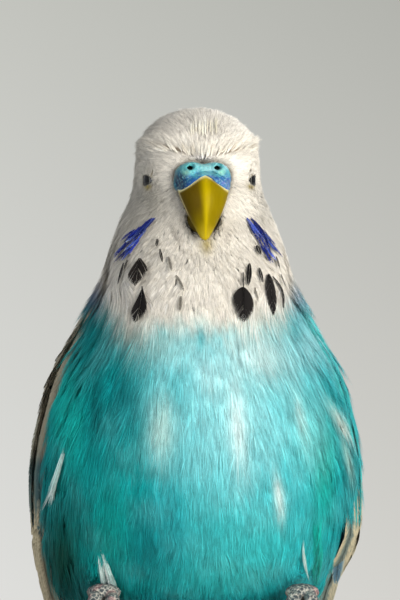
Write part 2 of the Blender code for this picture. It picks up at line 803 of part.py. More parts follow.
def base_mesh():
    """A flat slab with rounded corners and an eased top edge."""
    half = bird_point(BASE_LENGTH / 2, BASE_DEPTH / 2, 0.0)
    shape = bmesh.new()
    shape.from_mesh(box(-half, half + bird_point(0.0, 0.0, BASE_HEIGHT)))
    upright = [e for e in shape.edges if abs(e.verts[0].co.z - e.verts[1].co.z) > MM]
    bmesh.ops.bevel(
        shape, geom=upright, offset=BASE_CORNER * MM, segments=6, profile=0.5, affect="EDGES"
    )
    rim = [e for e in shape.edges if min(v.co.z for v in e.verts) > (BASE_HEIGHT - 0.1) * MM]
    bmesh.ops.bevel(shape, geom=rim, offset=BASE_EDGE * MM, segments=2, profile=0.5, affect="EDGES")
    return mesh_from(shape, "base")


def build_stand(parts, finishes):
    """The base, two rods in blind sockets, and the perch across them."""
    add_node("stand_base", cut(base_mesh(), holes_for_rods()), parts, finishes["base wood"])
    for word, side in (("left", 1), ("right", -1)):
        add_node(f"stand_rod_{word}", rod_between(side), parts, finishes["rod metal"])
    middle = bird_point(0.0, BIRD_BACK - PERCH_FORWARD, PERCH_TOP - PERCH_RADIUS)
    half = bird_point(PERCH_LENGTH / 2, 0.0, 0.0)
    perch = cylinder(middle - half, middle + half, PERCH_RADIUS, 24)
    add_node("perch", cut(perch, holes_for_rods()), parts, finishes["perch wood"])


def holes_for_rods():
    return [rod_between(side, GAP) for side in (1, -1)]


def main():
    for leftover in list(bpy.data.objects):
        bpy.data.objects.remove(leftover)
    parts = bpy.data.collections.new("budgerigar")
    bpy.context.scene.collection.children.link(parts)
    finishes = {
        "white plumage": material("white plumage", (0.80, 0.76, 0.68), 0.8),
        "blue plumage": material("blue plumage", (0.08, 0.55, 0.60), 0.75),
        "wing plumage": material("grey-brown wing plumage", (0.16, 0.15, 0.12), 0.75),
        "tail plumage": material("dark blue tail plumage", (0.02, 0.10, 0.22), 0.7),
        "shank plumage": material("shank plumage", (0.40, 0.68, 0.68), 0.8),
        "eye": material("eye", (0.01, 0.01, 0.012), 0.08),
        "cere": material("cere", (0.10, 0.30, 0.50), 0.45),
        "bill": material("bill horn", (0.48, 0.38, 0.02), 0.3),
        "toe skin": material("toe skin", (0.28, 0.28, 0.27), 0.6),
        "claw horn": material("claw horn", (0.07, 0.065, 0.06), 0.35),
        "base wood": material("dark stained wood", (0.06, 0.035, 0.02), 0.45),
        "rod metal": material("brass rod", (0.70, 0.55, 0.28), 0.3, 1.0),
        "perch wood": material("beech dowel", (0.55, 0.38, 0.22), 0.6),
    }
    bird = bpy.data.objects.new("bird", None)
    parts.objects.link(bird)
    bird.location = bird_point(0.0, BIRD_BACK, PERCH_TOP)
    build_body(parts, bird, finishes)
    build_wings(parts, bird, finishes["wing plumage"])
    build_tail(parts, bird, finishes["tail plumage"])
    build_legs(parts, bird, finishes)
    build_stand(parts, finishes)


main()
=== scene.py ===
import math

import bpy
import numpy as np
from mathutils import Matrix, Vector
from mathutils.bvhtree import BVHTree
from mathutils.kdtree import KDTree


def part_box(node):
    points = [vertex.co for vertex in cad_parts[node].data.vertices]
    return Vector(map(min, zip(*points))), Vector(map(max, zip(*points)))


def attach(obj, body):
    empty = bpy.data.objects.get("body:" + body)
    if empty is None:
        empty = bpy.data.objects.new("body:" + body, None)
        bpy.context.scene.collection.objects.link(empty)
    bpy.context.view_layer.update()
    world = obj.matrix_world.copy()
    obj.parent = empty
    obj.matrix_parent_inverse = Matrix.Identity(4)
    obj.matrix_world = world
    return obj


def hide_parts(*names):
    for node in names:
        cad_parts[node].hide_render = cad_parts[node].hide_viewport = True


# A life-size budgerigar that grips a perch on a plain stand. Lengths are millimetres in the bird's frame
# unless a name says otherwise: x to the bird's left, y to its back, z up from the perch's top.
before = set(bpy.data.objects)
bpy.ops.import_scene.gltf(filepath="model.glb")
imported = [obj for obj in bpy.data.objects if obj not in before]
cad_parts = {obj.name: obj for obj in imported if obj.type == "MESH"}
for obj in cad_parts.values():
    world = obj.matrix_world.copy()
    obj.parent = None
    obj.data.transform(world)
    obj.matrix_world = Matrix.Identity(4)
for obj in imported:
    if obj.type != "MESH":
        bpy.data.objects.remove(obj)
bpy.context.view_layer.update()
MM = 0.001


# The stand is a slab of dark stained wood with an eased edge, two brass rods let into it, and a
# turned beech dowel across them for the bird to grip. The slab keeps its own solid, and rods and dowel
# are turned again with rounder sides, collars and broken ends.


def linear(code):
    """An sRGB hex colour as the linear one that shaders take."""
    channels = np.array([int(code[i : i + 2], 16) / 255 for i in (1, 3, 5)])
    return np.where(channels <= 0.04045, channels / 12.92, ((channels + 0.055) / 1.055) ** 2.4)


def paint(code):
    return (*linear(code), 1.0)


def new_material(name, **settings):
    """A material whose shader takes the settings, and its node tree."""
    made = bpy.data.materials.new(name)
    made.use_nodes = True
    shader = made.node_tree.nodes["Principled BSDF"]
    for socket, value in settings.items():
        shader.inputs[socket.replace("_", " ")].default_value = value
    return made, made.node_tree, shader


def add_node(tree, kind, inputs=(), stops=(), **settings):
    """Adds a shader node with its settings. Each input takes a value or another node's output, and
    stops are the (place, hex colour) pairs that a colour ramp runs through."""
    made = tree.nodes.new("ShaderNode" + kind)
    for name, value in settings.items():
        setattr(made, name, value)
    for name, value in dict(inputs).items():
        if isinstance(value, bpy.types.NodeSocket):
            tree.links.new(value, made.inputs[name])
        else:
            made.inputs[name].default_value = value
    if stops:
        ramp = made.color_ramp.elements
        while len(ramp) < len(stops):
            ramp.new(1.0)
        for element, (place, code) in zip(ramp, stops):
            element.position = place
            element.color = paint(code)
    return made


def feed(shader, **outputs):
    """Links other nodes' outputs to the shader's inputs."""
    for socket, output in outputs.items():
        shader.id_data.links.new(output, shader.inputs[socket.replace("_", " ")])


PORE_SIZE = 0.35


def wood(name, stops, ring_width, roughness, wax):
    """Planed wood: fibres drawn out along X, in rings of a few millimetres, with open pores."""
    made, tree, shader = new_material(name, Roughness=roughness, Coat_Weight=wax, Coat_Roughness=0.25)
    coords = add_node(tree, "TexCoord").outputs["Object"]
    along = add_node(tree, "Mapping", {"Vector": coords, "Scale": (0.09, 1.0, 1.0)}).outputs["Vector"]
    ringed = {"Vector": along, "Scale": 1.0 / (ring_width * MM), "Detail": 6.0, "Distortion": 1.2}
    rings = add_node(tree, "TexNoise", ringed).outputs["Fac"]
    pitted = {"Vector": along, "Scale": 1.0 / (PORE_SIZE * MM), "Detail": 3.0}
    pores = add_node(tree, "TexNoise", pitted).outputs["Fac"]
    grain = add_node(tree, "Math", {0: rings, 1: pores}, operation="MULTIPLY").outputs[0]
    tones = add_node(tree, "ValToRGB", {"Fac": grain}, stops)
    relief = add_node(tree, "Bump", {"Height": pores, "Strength": 0.35, "Distance": 0.06 * MM})
    feed(shader, Base_Color=tones.outputs["Color"], Normal=relief.outputs["Normal"])
    return made


# Oak stained dark and waxed: brown rings with open pores, and a soft sheen on the edge
stained_wood = wood(
    "dark stained oak", [(0.12, "#2a1a10"), (0.3, "#4a2f1c"), (0.5, "#6a4729")], 3.2, 0.42, 0.25
)
# Beech turned and sanded: pale pinkish tan with short fine flecks, nearly matt
beech = wood("sanded beech", [(0.12, "#9c7148"), (0.3, "#c49a6c"), (0.5, "#dcb98c")], 2.4, 0.58, 0.0)

# Brass drawn and brushed along its length: fine bright lines that stretch the highlight
brass, tree, shader = new_material("brushed brass rod", Metallic=1.0, Roughness=0.3)
coords = add_node(tree, "TexCoord").outputs["Object"]
drawn = add_node(tree, "Mapping", {"Vector": coords, "Scale": (1.0, 1.0, 0.02)}).outputs["Vector"]
brushed = {"Vector": drawn, "Scale": 1.0 / (0.15 * MM), "Detail": 2.0}
lines = add_node(tree, "TexNoise", brushed).outputs["Fac"]
tones = add_node(tree, "ValToRGB", {"Fac": lines}, [(0.35, "#a9843c"), (0.65, "#c9a55a")])
sheen = add_node(tree, "MapRange", {"Value": lines, "To Min": 0.22, "To Max": 0.42})
feed(shader, Base_Color=tones.outputs["Color"], Roughness=sheen.outputs["Result"])


def make_active(piece):
    bpy.ops.object.select_all(action="DESELECT")
    piece.select_set(True)
    bpy.context.view_layer.objects.active = piece


def apply_modifier(piece, kind, **settings):
    make_active(piece)
    modifier = piece.modifiers.new(kind.lower(), kind)
    for name, value in settings.items():
        setattr(modifier, name, value)
    bpy.ops.object.modifier_apply(modifier=modifier.name)


def hand_over(piece, finish, slot, *nodes):
    """Gives a finished piece its material, its body and the nodes that it stands for. slot is not used."""
    piece.data.materials.clear()
    piece.data.materials.append(finish)
    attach(piece, "root")
    if nodes:
        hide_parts(*nodes)


def turned_rod(name, radius, middle, length, along_x=False, sides=64, broken=0.5):
    """A round bar with its end edges broken, along X or upright. Its radius and lengths are in metres."""
    bpy.ops.object.select_all(action="DESELECT")
    bpy.ops.mesh.primitive_cylinder_add(
        vertices=sides,
        radius=radius,
        depth=length,
        location=middle,
        rotation=(0.0, math.pi / 2 if along_x else 0.0, 0.0),
    )
    piece = bpy.context.active_object
    piece.name = name
    bpy.ops.object.transform_apply(location=True, rotation=True, scale=True)
    apply_modifier(
        piece, "BEVEL", width=broken * MM, segments=3, limit_method="ANGLE", angle_limit=math.radians(60)
    )
    make_active(piece)
    bpy.ops.object.shade_smooth_by_angle(angle=math.radians(40))
    return piece


def joined(name, pieces):
    make_active(pieces[0])
    for piece in pieces:
        piece.select_set(True)
    bpy.ops.object.join()
    pieces[0].name = name
    return pieces[0]


COLLAR_OUT, COLLAR_HIGH = 1.1, 1.6
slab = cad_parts["stand_base"].data
slab.materials.clear()
slab.materials.append(stained_wood)
slab_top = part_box("stand_base")[1].z
perch_low, perch_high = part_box("perch")
perch_radius = (perch_high.z - perch_low.z) / 2
for word in ("left", "right"):
    low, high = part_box("stand_rod_" + word)
    middle = (low + high) / 2
    radius = (high.x - low.x) / 2
    rod = turned_rod("rod_bar", radius, middle, high.z - low.z)
    foot = Vector((middle.x, middle.y, slab_top + COLLAR_HIGH / 2 * MM))
    collar = turned_rod("rod_collar", radius + COLLAR_OUT * MM, foot, COLLAR_HIGH * MM, broken=0.4)
    hand_over(
        joined("rod_" + word + "_turned", [rod, collar]), brass, "rod_metal", "stand_rod_" + word
    )
perch = turned_rod(
    "perch_dowel", perch_radius, (perch_low + perch_high) / 2, perch_high.x - perch_low.x, True, 96, 0.9
)
hand_over(perch, beech, "perch_wood", "perch")


# The bird's flesh is one skin from crown to rump and down both shanks, so that no seam shows. It is the
# solids' own form, run together where they part, and lies in from them by the depth of the coat.

PERCH_FORWARD = 5.0  # of the bird's origin
BIRD = np.array([0.0, (perch_low.y + perch_high.y) / 2 + PERCH_FORWARD * MM, perch_high.z])
FLESH = ("head", "neck", "torso", "leg_left", "leg_right")
GAP_BRIDGE = 0.25  # each piece grows by this before they are run together
SKIN_VOXEL = 0.62
FACE_X = 1.2  # of the middle of the turned face, seen from the front
BILL_ROOT = np.array([FACE_X, -18.0, 67.0])
EYES = np.array([[5.9, -9.7, 70.1], [-6.2, -9.7, 70.1]])
EYE_FACING = np.array([[0.93, -0.37, 0.0], [-0.94, -0.34, 0.0]])
HEAD_TURN = math.radians(5.0)  # towards the bird's left
HEAD_PIVOT = np.array([0.0, -3.0, 0.0])


def to_bird(places):
    return (np.asarray(places, float) - BIRD) / MM


def to_world(points):
    return np.asarray(points) * MM + BIRD


def head_turned(points):
    """Points that were given with the face straight ahead, carried round by the head's turn."""
    turn = np.array(Matrix.Rotation(HEAD_TURN, 3, "Z"))
    return (np.asarray(points, float) - HEAD_PIVOT) @ turn.T + HEAD_PIVOT


def unit(vectors):
    return vectors / np.maximum(np.linalg.norm(vectors, axis=-1, keepdims=True), 1e-9)


def smooth_step(t):
    t = np.clip(t, 0.0, 1.0)
    return t * t * (3.0 - 2.0 * t)


def merged_copy(node):
    """An object of its own with a node's mesh, its loose triangles joined up."""
    piece = bpy.data.objects.new(node + "_copy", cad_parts[node].data.copy())
    bpy.context.scene.collection.objects.link(piece)
    make_active(piece)
    bpy.ops.object.mode_set(mode="EDIT")
    bpy.ops.mesh.select_all(action="SELECT")
    bpy.ops.mesh.remove_doubles(threshold=0.005 * MM)
    bpy.ops.object.mode_set(mode="OBJECT")
    return piece


def points_of(piece):
    flat = np.empty(len(piece.data.vertices) * 3)
    piece.data.vertices.foreach_get("co", flat)
    return to_bird(flat.reshape(-1, 3))


def set_points(piece, points):
    piece.data.vertices.foreach_set("co", to_world(points).astype(np.float32).ravel())
    piece.data.update()


def normals_of(piece):
    flat = np.empty(len(piece.data.vertices) * 3)
    piece.data.vertex_normals.foreach_get("vector", flat)
    return flat.reshape(-1, 3)


def triangles_of(piece):
    piece.data.calc_loop_triangles()
    flat = np.empty(len(piece.data.loop_triangles) * 3, np.int32)
    piece.data.loop_triangles.foreach_get("vertices", flat)
    return flat.reshape(-1, 3)


eyes = head_turned(EYES)
eye_facing = unit(head_turned(EYE_FACING + HEAD_PIVOT) - HEAD_PIVOT)


def coat_depth(points):
    """How deep the coat is: thin round the bill and eyes, full on the body."""
    reach = np.linalg.norm(points - BILL_ROOT, axis=-1)
    return np.interp(reach, [6.0, 12.0, 24.0, 40.0], [0.3, 0.45, 0.75, 0.95])


def above_crease(points):
    """Heights above the crease between the puffed forehead and the face."""
    x = points[..., 0] - FACE_X
    return points[..., 2] - np.interp(np.abs(x), [0.0, 3.5, 8.0, 12.0], [74.0, 75.2, 75.4, 74.6])


def brow(points):
    """How far the forehead stands out over its crease."""
    above = above_crease(points)
    forward = smooth_step((-points[..., 1] - 4.0) / 6.0)
    bulge = np.exp(-(((above - 2.4) / 1.7) ** 2))
    crease = np.exp(-(((above + 0.2) / 0.7) ** 2))
    return forward * (0.55 * bulge - 0.40 * crease)


pieces = []
for node in FLESH:
    piece = merged_copy(node)
    apply_modifier(piece, "DISPLACE", strength=GAP_BRIDGE * MM, mid_level=0.0)
    pieces.append(piece)
skin = joined("skin", pieces)
apply_modifier(skin, "REMESH", mode="VOXEL", voxel_size=SKIN_VOXEL * MM)
apply_modifier(skin, "SMOOTH", factor=0.5, iterations=14)
bare = points_of(skin)
set_points(skin, bare - normals_of(skin) * (coat_depth(bare) + GAP_BRIDGE - brow(bare))[:, None])
make_active(skin)
bpy.ops.object.shade_smooth()
skin_points, skin_normals, skin_triangles = points_of(skin), normals_of(skin), triangles_of(skin)
skin_tree = BVHTree.FromPolygons(skin_points.tolist(), skin_triangles.tolist())

# Each eye stands in a socket of the head. It is moved along its facing until the cornea is just out of
# the coat, as the skin round the socket has it.
SOCKET_REACH = 3.8
EYES_SUNK = (2.4, 2.1)  # from the rim of each socket down to the level of the eye's middle


def eye_axes(facing):
    """The way that an eye faces, the way along the head beside it, and up. The second runs to the back
    at the left eye and to the front at the right one."""
    up = unit(np.array([0.0, 0.0, 1.0]) - facing * facing[2])
    return facing, np.cross(up, facing), up


def socket_rim(eye, facing, turns):
    """Heights of the skin over the eye's middle, round its socket."""
    facing, aside, up = eye_axes(facing)
    heights = []
    for turn in turns:
        start = eye + (aside * math.cos(turn) + up * math.sin(turn)) * SOCKET_REACH + facing * 12.0
        place = skin_tree.ray_cast(Vector(start), Vector(-facing), 16.0)[0]
        heights.append((np.array(place) - eye) @ facing if place is not None else 0.0)
    return np.array(heights)


for i in range(2):
    rim = socket_rim(eyes[i], eye_facing[i], np.linspace(0.0, 2 * math.pi, 24, endpoint=False))
    eyes[i] = eyes[i] + eye_facing[i] * (rim.mean() - EYES_SUNK[i])


# The plumage's markings: a white head and bib over sea-blue underparts with paler and whiter patches,
# and a barred nape and mantle. Skin and coat take their colours from the same places.

VIEW_DISTANCE = 1600.0  # from the perch's front to the eye of someone looking at the bird
VIEW_MIDDLE = (0.5, 50.3)

CREAM = "#f2ede3"
CROWN_GREY = "#b3ada0"
BAR = "#3b3a36"
DEEP_TEAL = "#029a9c"
SEA_BLUE = "#14b8c0"
PALE_AQUA = "#9adbe0"
BACK_TEAL = "#1d8f93"

# Across the bird's front, the height where white gives way to blue
BIB_X = [-21.0, -16.2, -11.2, -6.2, 0.5, 7.2, 13.8, 16.5, 21.0]
BIB_Z = [53.5, 50.3, 43.6, 45.2, 45.6, 44.6, 46.6, 50.3, 53.5]

# Soft marks on the front: middle x and z, half width, half height, lean in degrees, colour, strength
FRONT_MARKS = [
    (-5.9, 29.0, 2.3, 5.6, 0.0, "#b9d6d0", 0.65),
    (6.8, 29.0, 1.5, 7.0, 4.0, "#d5ecec", 0.7),
    (2.2, 37.5, 3.0, 3.0, 0.0, "#c2e6e8", 0.5),
    (10.5, 40.5, 4.6, 3.4, -18.0, "#dff0ee", 0.6),
    (13.7, 17.0, 0.8, 3.4, 6.0, "#eef4f0", 0.7),
    (17.4, 30.2, 0.8, 3.6, 8.0, "#e0ece7", 0.6),
    # Partly painted shade: grey over the white feather ends on the bib's shaded side
    (-10.4, 44.2, 3.4, 1.8, -10.0, "#7e8679", 0.55),
    (-17.8, 51.0, 1.4, 2.4, 20.0, "#6c76b0", 0.6),
    (-22.6, 36.6, 0.8, 1.6, 0.0, "#4a5a94", 0.5),
    (0.6, 43.8, 0.7, 1.8, 0.0, "#4fb3ba", 0.7),
    # Partly painted shade: deeper teal on the bird's right of the breast, the side turned from the light
    (-12.0, 33.5, 2.6, 6.0, 10.0, "#067e84", 0.6),
    (-17.0, 20.0, 4.0, 9.0, 0.0, "#0b9a9e", 0.4),
    (21.4, 21.0, 2.0, 9.0, -4.0, "#06aea6", 0.9),
    (25.0, 19.0, 1.5, 6.0, 0.0, "#0a8285", 0.5),
    (19.0, 27.0, 3.0, 6.0, 0.0, "#86dbdb", 0.5),
    (24.3, 29.4, 0.75, 3.2, 35.0, "#e3ece3", 0.85),
    # Painted shadow: a thin dark line under the white feather tip
    (23.6, 28.9, 0.22, 3.0, 35.0, "#24484b", 0.7),
    (25.2, 23.6, 0.6, 3.2, 14.0, "#b5d6cc", 0.6),
    (9.0, 9.0, 9.0, 6.0, 0.0, "#4ed3d4", 0.5),
    (-22.0, 32.0, 3.0, 10.0, 8.0, "#14cfc6", 0.9),
    # Partly painted shade: dark teal and green down the bird's right side and low on the belly
    (-16.8, 31.0, 0.9, 4.5, 4.0, "#035458", 0.6),
    (-22.5, 7.0, 3.4, 8.0, 0.0, "#0c5a4c", 0.75),
    (-7.5, 9.0, 4.5, 7.0, 0.0, "#048289", 0.6),
    (-14.5, 12.0, 3.4, 9.0, 0.0, "#06aaa2", 0.55),
    (-6.0, 42.0, 5.0, 2.8, 0.0, "#a9d6d4", 0.5),
    (2.0, 10.0, 6.0, 9.0, 0.0, "#3fc4c8", 0.5),
    (19.0, 42.5, 2.6, 4.5, -20.0, "#a5e0e6", 0.6),
    (17.6, 51.6, 1.3, 3.2, -24.0, "#b9cfe4", 0.7),
    (-3.0, 13.0, 1.6, 6.0, 0.0, "#1a9ea6", 0.5),
    (1.6, 59.6, 1.0, 1.5, 0.0, "#b3a04a", 0.6),
    (-8.2, 69.2, 0.55, 0.45, 0.0, "#a39350", 0.85),
    (9.0, 69.2, 0.55, 0.45, 0.0, "#a39350", 0.85),
    # Painted shade: dull marks either side of the bill's tip, for the shadow of the gape
    (-3.6, 61.0, 0.6, 2.4, 24.0, "#6d6353", 0.35),
    (5.2, 61.0, 0.7, 1.6, -24.0, "#a09482", 0.2),
    # Painted shade: brown lines along the crease between forehead and face, and grey in it over the cere
    (-3.4, 75.4, 3.2, 0.35, -14.0, "#7d6a50", 0.75),
    (5.6, 75.2, 2.8, 0.35, 12.0, "#7d6a50", 0.75),
    (1.2, 74.0, 1.6, 0.6, 0.0, "#8a8ea0", 0.35),
]


def smooth_curve(xs, ys):
    """A smooth function through stations that never overshoots them."""
    xs, ys = np.array(xs, float), np.array(ys, float)
    widths = np.diff(xs)
    slopes = np.diff(ys) / widths
    before, after = slopes[:-1], slopes[1:]
    near, far = 2 * widths[1:] + widths[:-1], widths[1:] + 2 * widths[:-1]
    with np.errstate(divide="ignore", invalid="ignore"):
        inner = (near + far) / (near / before + far / after)
    bends = np.concatenate([slopes[:1], np.where(before * after > 0, inner, 0.0), slopes[-1:]])

    def at(x):
        x = np.clip(x, xs[0], xs[-1])
        i = np.clip(np.searchsorted(xs, x, side="right") - 1, 0, len(slopes) - 1)
        width = widths[i]
        t = (x - xs[i]) / width
        return (
            ys[i] * (1 + 2 * t) * (1 - t) ** 2
            + bends[i] * width * t * (1 - t) ** 2
            + ys[i + 1] * t * t * (3 - 2 * t)
            + bends[i + 1] * width * t * t * (t - 1)
        )

    return at


body_middle = smooth_curve(
    [-34.0, -24.0, -8.0, 10.0, 20.3, 33.7, 45.3, 60.3, 74.0],
    [40.4, 35.4, 22.9, 7.1, 1.4, -2.9, -4.0, -2.6, -3.3],
)


DRIFT_WAVES = 7


def drift(points, size, seed):
    """Smooth random variation from -1 to 1 over lengths of about a size."""
    draw = np.random.default_rng(seed)
    total = np.zeros(points.shape[:-1])
    for _ in range(DRIFT_WAVES):
        way = unit(draw.normal(size=3)) * 2 * math.pi / (size * draw.uniform(0.7, 1.6))
        total += np.sin(points @ way + draw.uniform(0, 2 * math.pi))
    return np.clip(total / 3.0, -1.0, 1.0)


def blended(base, over, share):
    """Linear colours from one to another by shares. Each is given as linear RGB or a hex code."""
    base, over = (linear(colour) if isinstance(colour, str) else colour for colour in (base, over))
    return base + (over - base) * np.asarray(share)[..., None]


def layered(colours, *layers):
    """Colours under layers of (colour, share) that are laid over them one by one."""
    for over, share in layers:
        colours = blended(colours, over, share)
    return colours


def seen_from_front(points):
    """x and z of where points come on the plane of the perch, for someone in front of the bird."""
    scale = VIEW_DISTANCE / (VIEW_DISTANCE + points[..., 1])
    x = VIEW_MIDDLE[0] + (points[..., 0] - VIEW_MIDDLE[0]) * scale
    z = VIEW_MIDDLE[1] + (points[..., 2] - VIEW_MIDDLE[1]) * scale
    return x, z


def plumage(points, front=False):
    """The colour of the plumage at points, as linear RGB. front takes them all as underparts."""
    x, z = seen_from_front(points)
    height = points[..., 2]
    forward = smooth_step((body_middle(height) + 3.0 - points[..., 1]) / 5.0)
    if front:
        forward = np.ones_like(forward)
    # Underparts: sea blue, palest on the right of the breast, deep on the flanks and low down
    pale = np.exp(-(((x - 6.5) / 12.0) ** 2) - ((z - 31.0) / 16.0) ** 2)
    pale = np.maximum(pale, np.exp(-(((x - 6.0) / 15.0) ** 4) - ((z - 41.5) / 5.5) ** 2))
    pale = np.clip(pale + 0.16 * drift(points, 9.0, 3) + 0.10 * drift(points, 3.4, 4), 0.0, 1.0)
    # Partly painted shade: the deep teal lies on the bird's right, the side turned from the light
    deep = smooth_step((-x - 4.0) / 10.0 + 0.25 * drift(points, 7.0, 5))
    blue = layered(SEA_BLUE, (DEEP_TEAL, deep), (PALE_AQUA, 0.9 * pale))
    back = blended(BACK_TEAL, "#3a4a49", 0.5 + 0.4 * drift(points, 4.0, 6))
    colour = blended(back, blue, forward)
    # White of the head and bib, which runs on over nape and mantle
    edge = np.interp(x, BIB_X, BIB_Z)
    on_front = smooth_step((z - edge) / 6.4 + 0.56 + 0.16 * drift(points, 2.2, 7))
    on_back = smooth_step((height - 40.0) / 14.0 + 0.3 * drift(points, 5.0, 8))
    # Painted shade: the white greys over the bird's right of the head and bib, the side turned from the
    # light
    dull = 0.55 * smooth_step((-x - 1.0) / 9.0) * smooth_step((z - 52.0) / 8.0)
    white = layered(CREAM, (CROWN_GREY, 0.18 + 0.12 * drift(points, 4.5, 9)), (CROWN_GREY, dull))
    colour = blended(colour, white, on_front * forward + on_back * (1 - forward))
    # Fine dark bars behind the eyes, over the nape and down the mantle
    behind = smooth_step((points[..., 1] - 2.0) / 7.0) * smooth_step((height - 22.0) / 16.0)
    rows = (height * 0.9 + points[..., 1] * 0.5) / 2.1
    wave = np.sin(2 * math.pi * rows + 1.2 * drift(points, 3.0, 10))
    colour = blended(colour, BAR, behind * smooth_step(1.6 * wave + 0.35) * 0.95)
    side = np.exp(-(((x + 9.5) / 2.6) ** 2) - ((z - 73.0) / 5.0) ** 2) * forward
    faint = np.sin(2 * math.pi * (z + 0.35 * x) / 1.15 + 1.5 * drift(points, 2.0, 11))
    colour = blended(colour, CROWN_GREY, 0.45 * side * smooth_step(faint + 0.2))
    # Dark flecks on the cheeks
    cheek = np.exp(-(((np.abs(x - FACE_X) - 8.2) / 2.2) ** 2) - ((z - 66.0) / 3.2) ** 2) * forward
    fleck = smooth_step((drift(points, 0.55, 12) * drift(points, 0.8, 13) - 0.35) / 0.2)
    colour = blended(colour, "#5c5850", np.clip(cheek * fleck * 1.2, 0.0, 0.8))
    # Painted shade: the sides of the face are darkened grey where they turn from the light
    shaded = np.exp(-(((x + 7.6) / 3.4) ** 2) - ((z - 67.0) / 3.2) ** 2)
    shaded = np.maximum(shaded, 0.6 * smooth_step((x - 8.6) / 2.6) * smooth_step((z - 60.0) / 5.0))
    colour = blended(colour, "#8a877c", 0.55 * shaded * forward)
    for across, up, half_width, half_height, lean, code, strength in FRONT_MARKS:
        turn = math.radians(lean)
        u = (x - across) * math.cos(turn) + (z - up) * math.sin(turn)
        v = (z - up) * math.cos(turn) - (x - across) * math.sin(turn)
        inside = np.exp(-((u / half_width) ** 2) - (v / half_height) ** 2)
        colour = blended(colour, code, np.clip(inside * strength * 1.3, 0.0, 1.0) * forward)
    return colour


def paint_points(piece, colours):
    """Gives a piece's points their tint: one linear colour for each, or one for them all."""
    tint = piece.data.color_attributes.new("tint", "FLOAT_COLOR", "POINT")
    rgba = np.ones((len(piece.data.vertices), 4), np.float32)
    rgba[:, :3] = colours
    tint.data.foreach_set("color", rgba.ravel())


# Bare skin seen between the feathers: the feathers' own colour, darker and matt, with fine pores
skin_finish, tree, shader = new_material("feathered skin", Roughness=0.85)
tint = add_node(tree, "Attribute", attribute_name="tint").outputs["Color"]
coords = add_node(tree, "TexCoord").outputs["Object"]
pores = add_node(tree, "TexVoronoi", {"Vector": coords, "Scale": 1.0 / (0.9 * MM)}).outputs["Distance"]
shadow = add_node(tree, "ValToRGB", {"Fac": pores}, [(0.0, "#9a9a9a"), (0.6, "#ffffff")])
dimmed = {0: 1.0, 6: tint, 7: shadow.outputs["Color"]}
dimmed = add_node(tree, "Mix", dimmed, data_type="RGBA", blend_type="MULTIPLY")
relief = add_node(tree, "Bump", {"Height": pores, "Strength": 0.5, "Distance": 0.1 * MM})
feed(shader, Base_Color=dimmed.outputs[2], Normal=relief.outputs["Normal"])

# Painted shade: the skin takes the plumage's colour darkened, for the shade deep among the feathers
SKIN_SHADE = 0.42
paint_points(skin, plumage(skin_points) * SKIN_SHADE)
hand_over(skin, skin_finish, "blue_plumage", *FLESH)


# The coat: contour feathers in the round, each a fan of fine barbs from its root in the skin. They
# overlap down the body along the lie of the coat, and are smallest round the bill and the eyes.

THIN_OUT = 1.0  # share of the feathers that are made
BARB_ROWS = 2  # strips along one barb
PATH_STEPS = 3
BAKE_PATCH = 0.003  # of the unwrapped coat, for one feather


def lie(points, normals):
    """The way the coat lies: out from the bill over the head, and down the body."""
    away = points - head_turned([0.0, -15.5, 70.0])
    reach = np.linalg.norm(away, axis=-1, keepdims=True)
    near = 1.0 / (1.0 + np.exp((reach - 22.0) / 3.5))
    flare = 0.42 * np.clip(points[..., 0] / 20.0, -1.0, 1.0) * smooth_step((50.0 - points[..., 2]) / 16.0)
    down = np.stack([flare, np.zeros_like(flare), np.full_like(flare, -1.0)], axis=-1)
    way = unit(away) * near + down * (0.22 + 0.78 * (1.0 - near))
    return unit(way - normals * np.sum(way * normals, axis=-1, keepdims=True))


def feather_length(points):
    reach = np.linalg.norm(points - BILL_ROOT, axis=-1)
    length = np.interp(
        reach, [4.0, 8.0, 14.0, 20.0, 28.0, 40.0, 70.0], [1.2, 1.8, 3.0, 4.6, 6.4, 7.8, 8.6]
    )
    for eye, facing in zip(eyes, eye_facing):
        away = np.linalg.norm(points - (eye + facing * 1.8), axis=-1)
        length = np.minimum(length, 0.8 + 0.6 * np.maximum(away - 2.6, 0.0))
    from_foot = np.maximum(points[..., 2] + 2.0, 0.0)
    from_foot = from_foot + np.maximum(np.abs(points[..., 1] + 2.0) - 5.0, 0.0)
    return np.minimum(length, 2.2 + 0.6 * from_foot)


def scattered(density, draw):
    """Points over the skin with their normals, spread evenly at a density for each square millimetre."""
    corners = skin_points[skin_triangles]
    edges = corners[:, 1:] - corners[:, :1]
    areas = np.linalg.norm(np.cross(edges[:, 0], edges[:, 1]), axis=1) / 2
    share = np.cumsum(areas * density(corners.mean(axis=1)))
    count = int(share[-1])
    picks = np.searchsorted(share, (np.arange(count) + draw.random(count)) * share[-1] / count)
    picks = np.minimum(picks, len(corners) - 1)
    a, b = draw.random(count), draw.random(count)
    a, b = np.where(a + b > 1, 1 - a, a), np.where(a + b > 1, 1 - b, b)
    weights = np.stack([1 - a - b, a, b], axis=1)[..., None]
    points = (corners[picks] * weights).sum(axis=1)
    normals = unit((skin_normals[skin_triangles[picks]] * weights).sum(axis=1))
    return points, normals


def on_skin(points):
    """The nearest places on the skin, with its outward normals there."""
    places, normals = np.empty_like(points), np.empty_like(points)
    for i, point in enumerate(points.tolist()):
        place, normal, _, _ = skin_tree.find_nearest(point)
        places[i] = place
        normals[i] = normal
    return places, normals


def turned_about(vectors, axes, angles):
    c, s = np.cos(angles)[..., None], np.sin(angles)[..., None]
    return vectors * c + np.cross(axes, vectors) * s


STRAY = 3.5  # degrees, from the lie of the coat


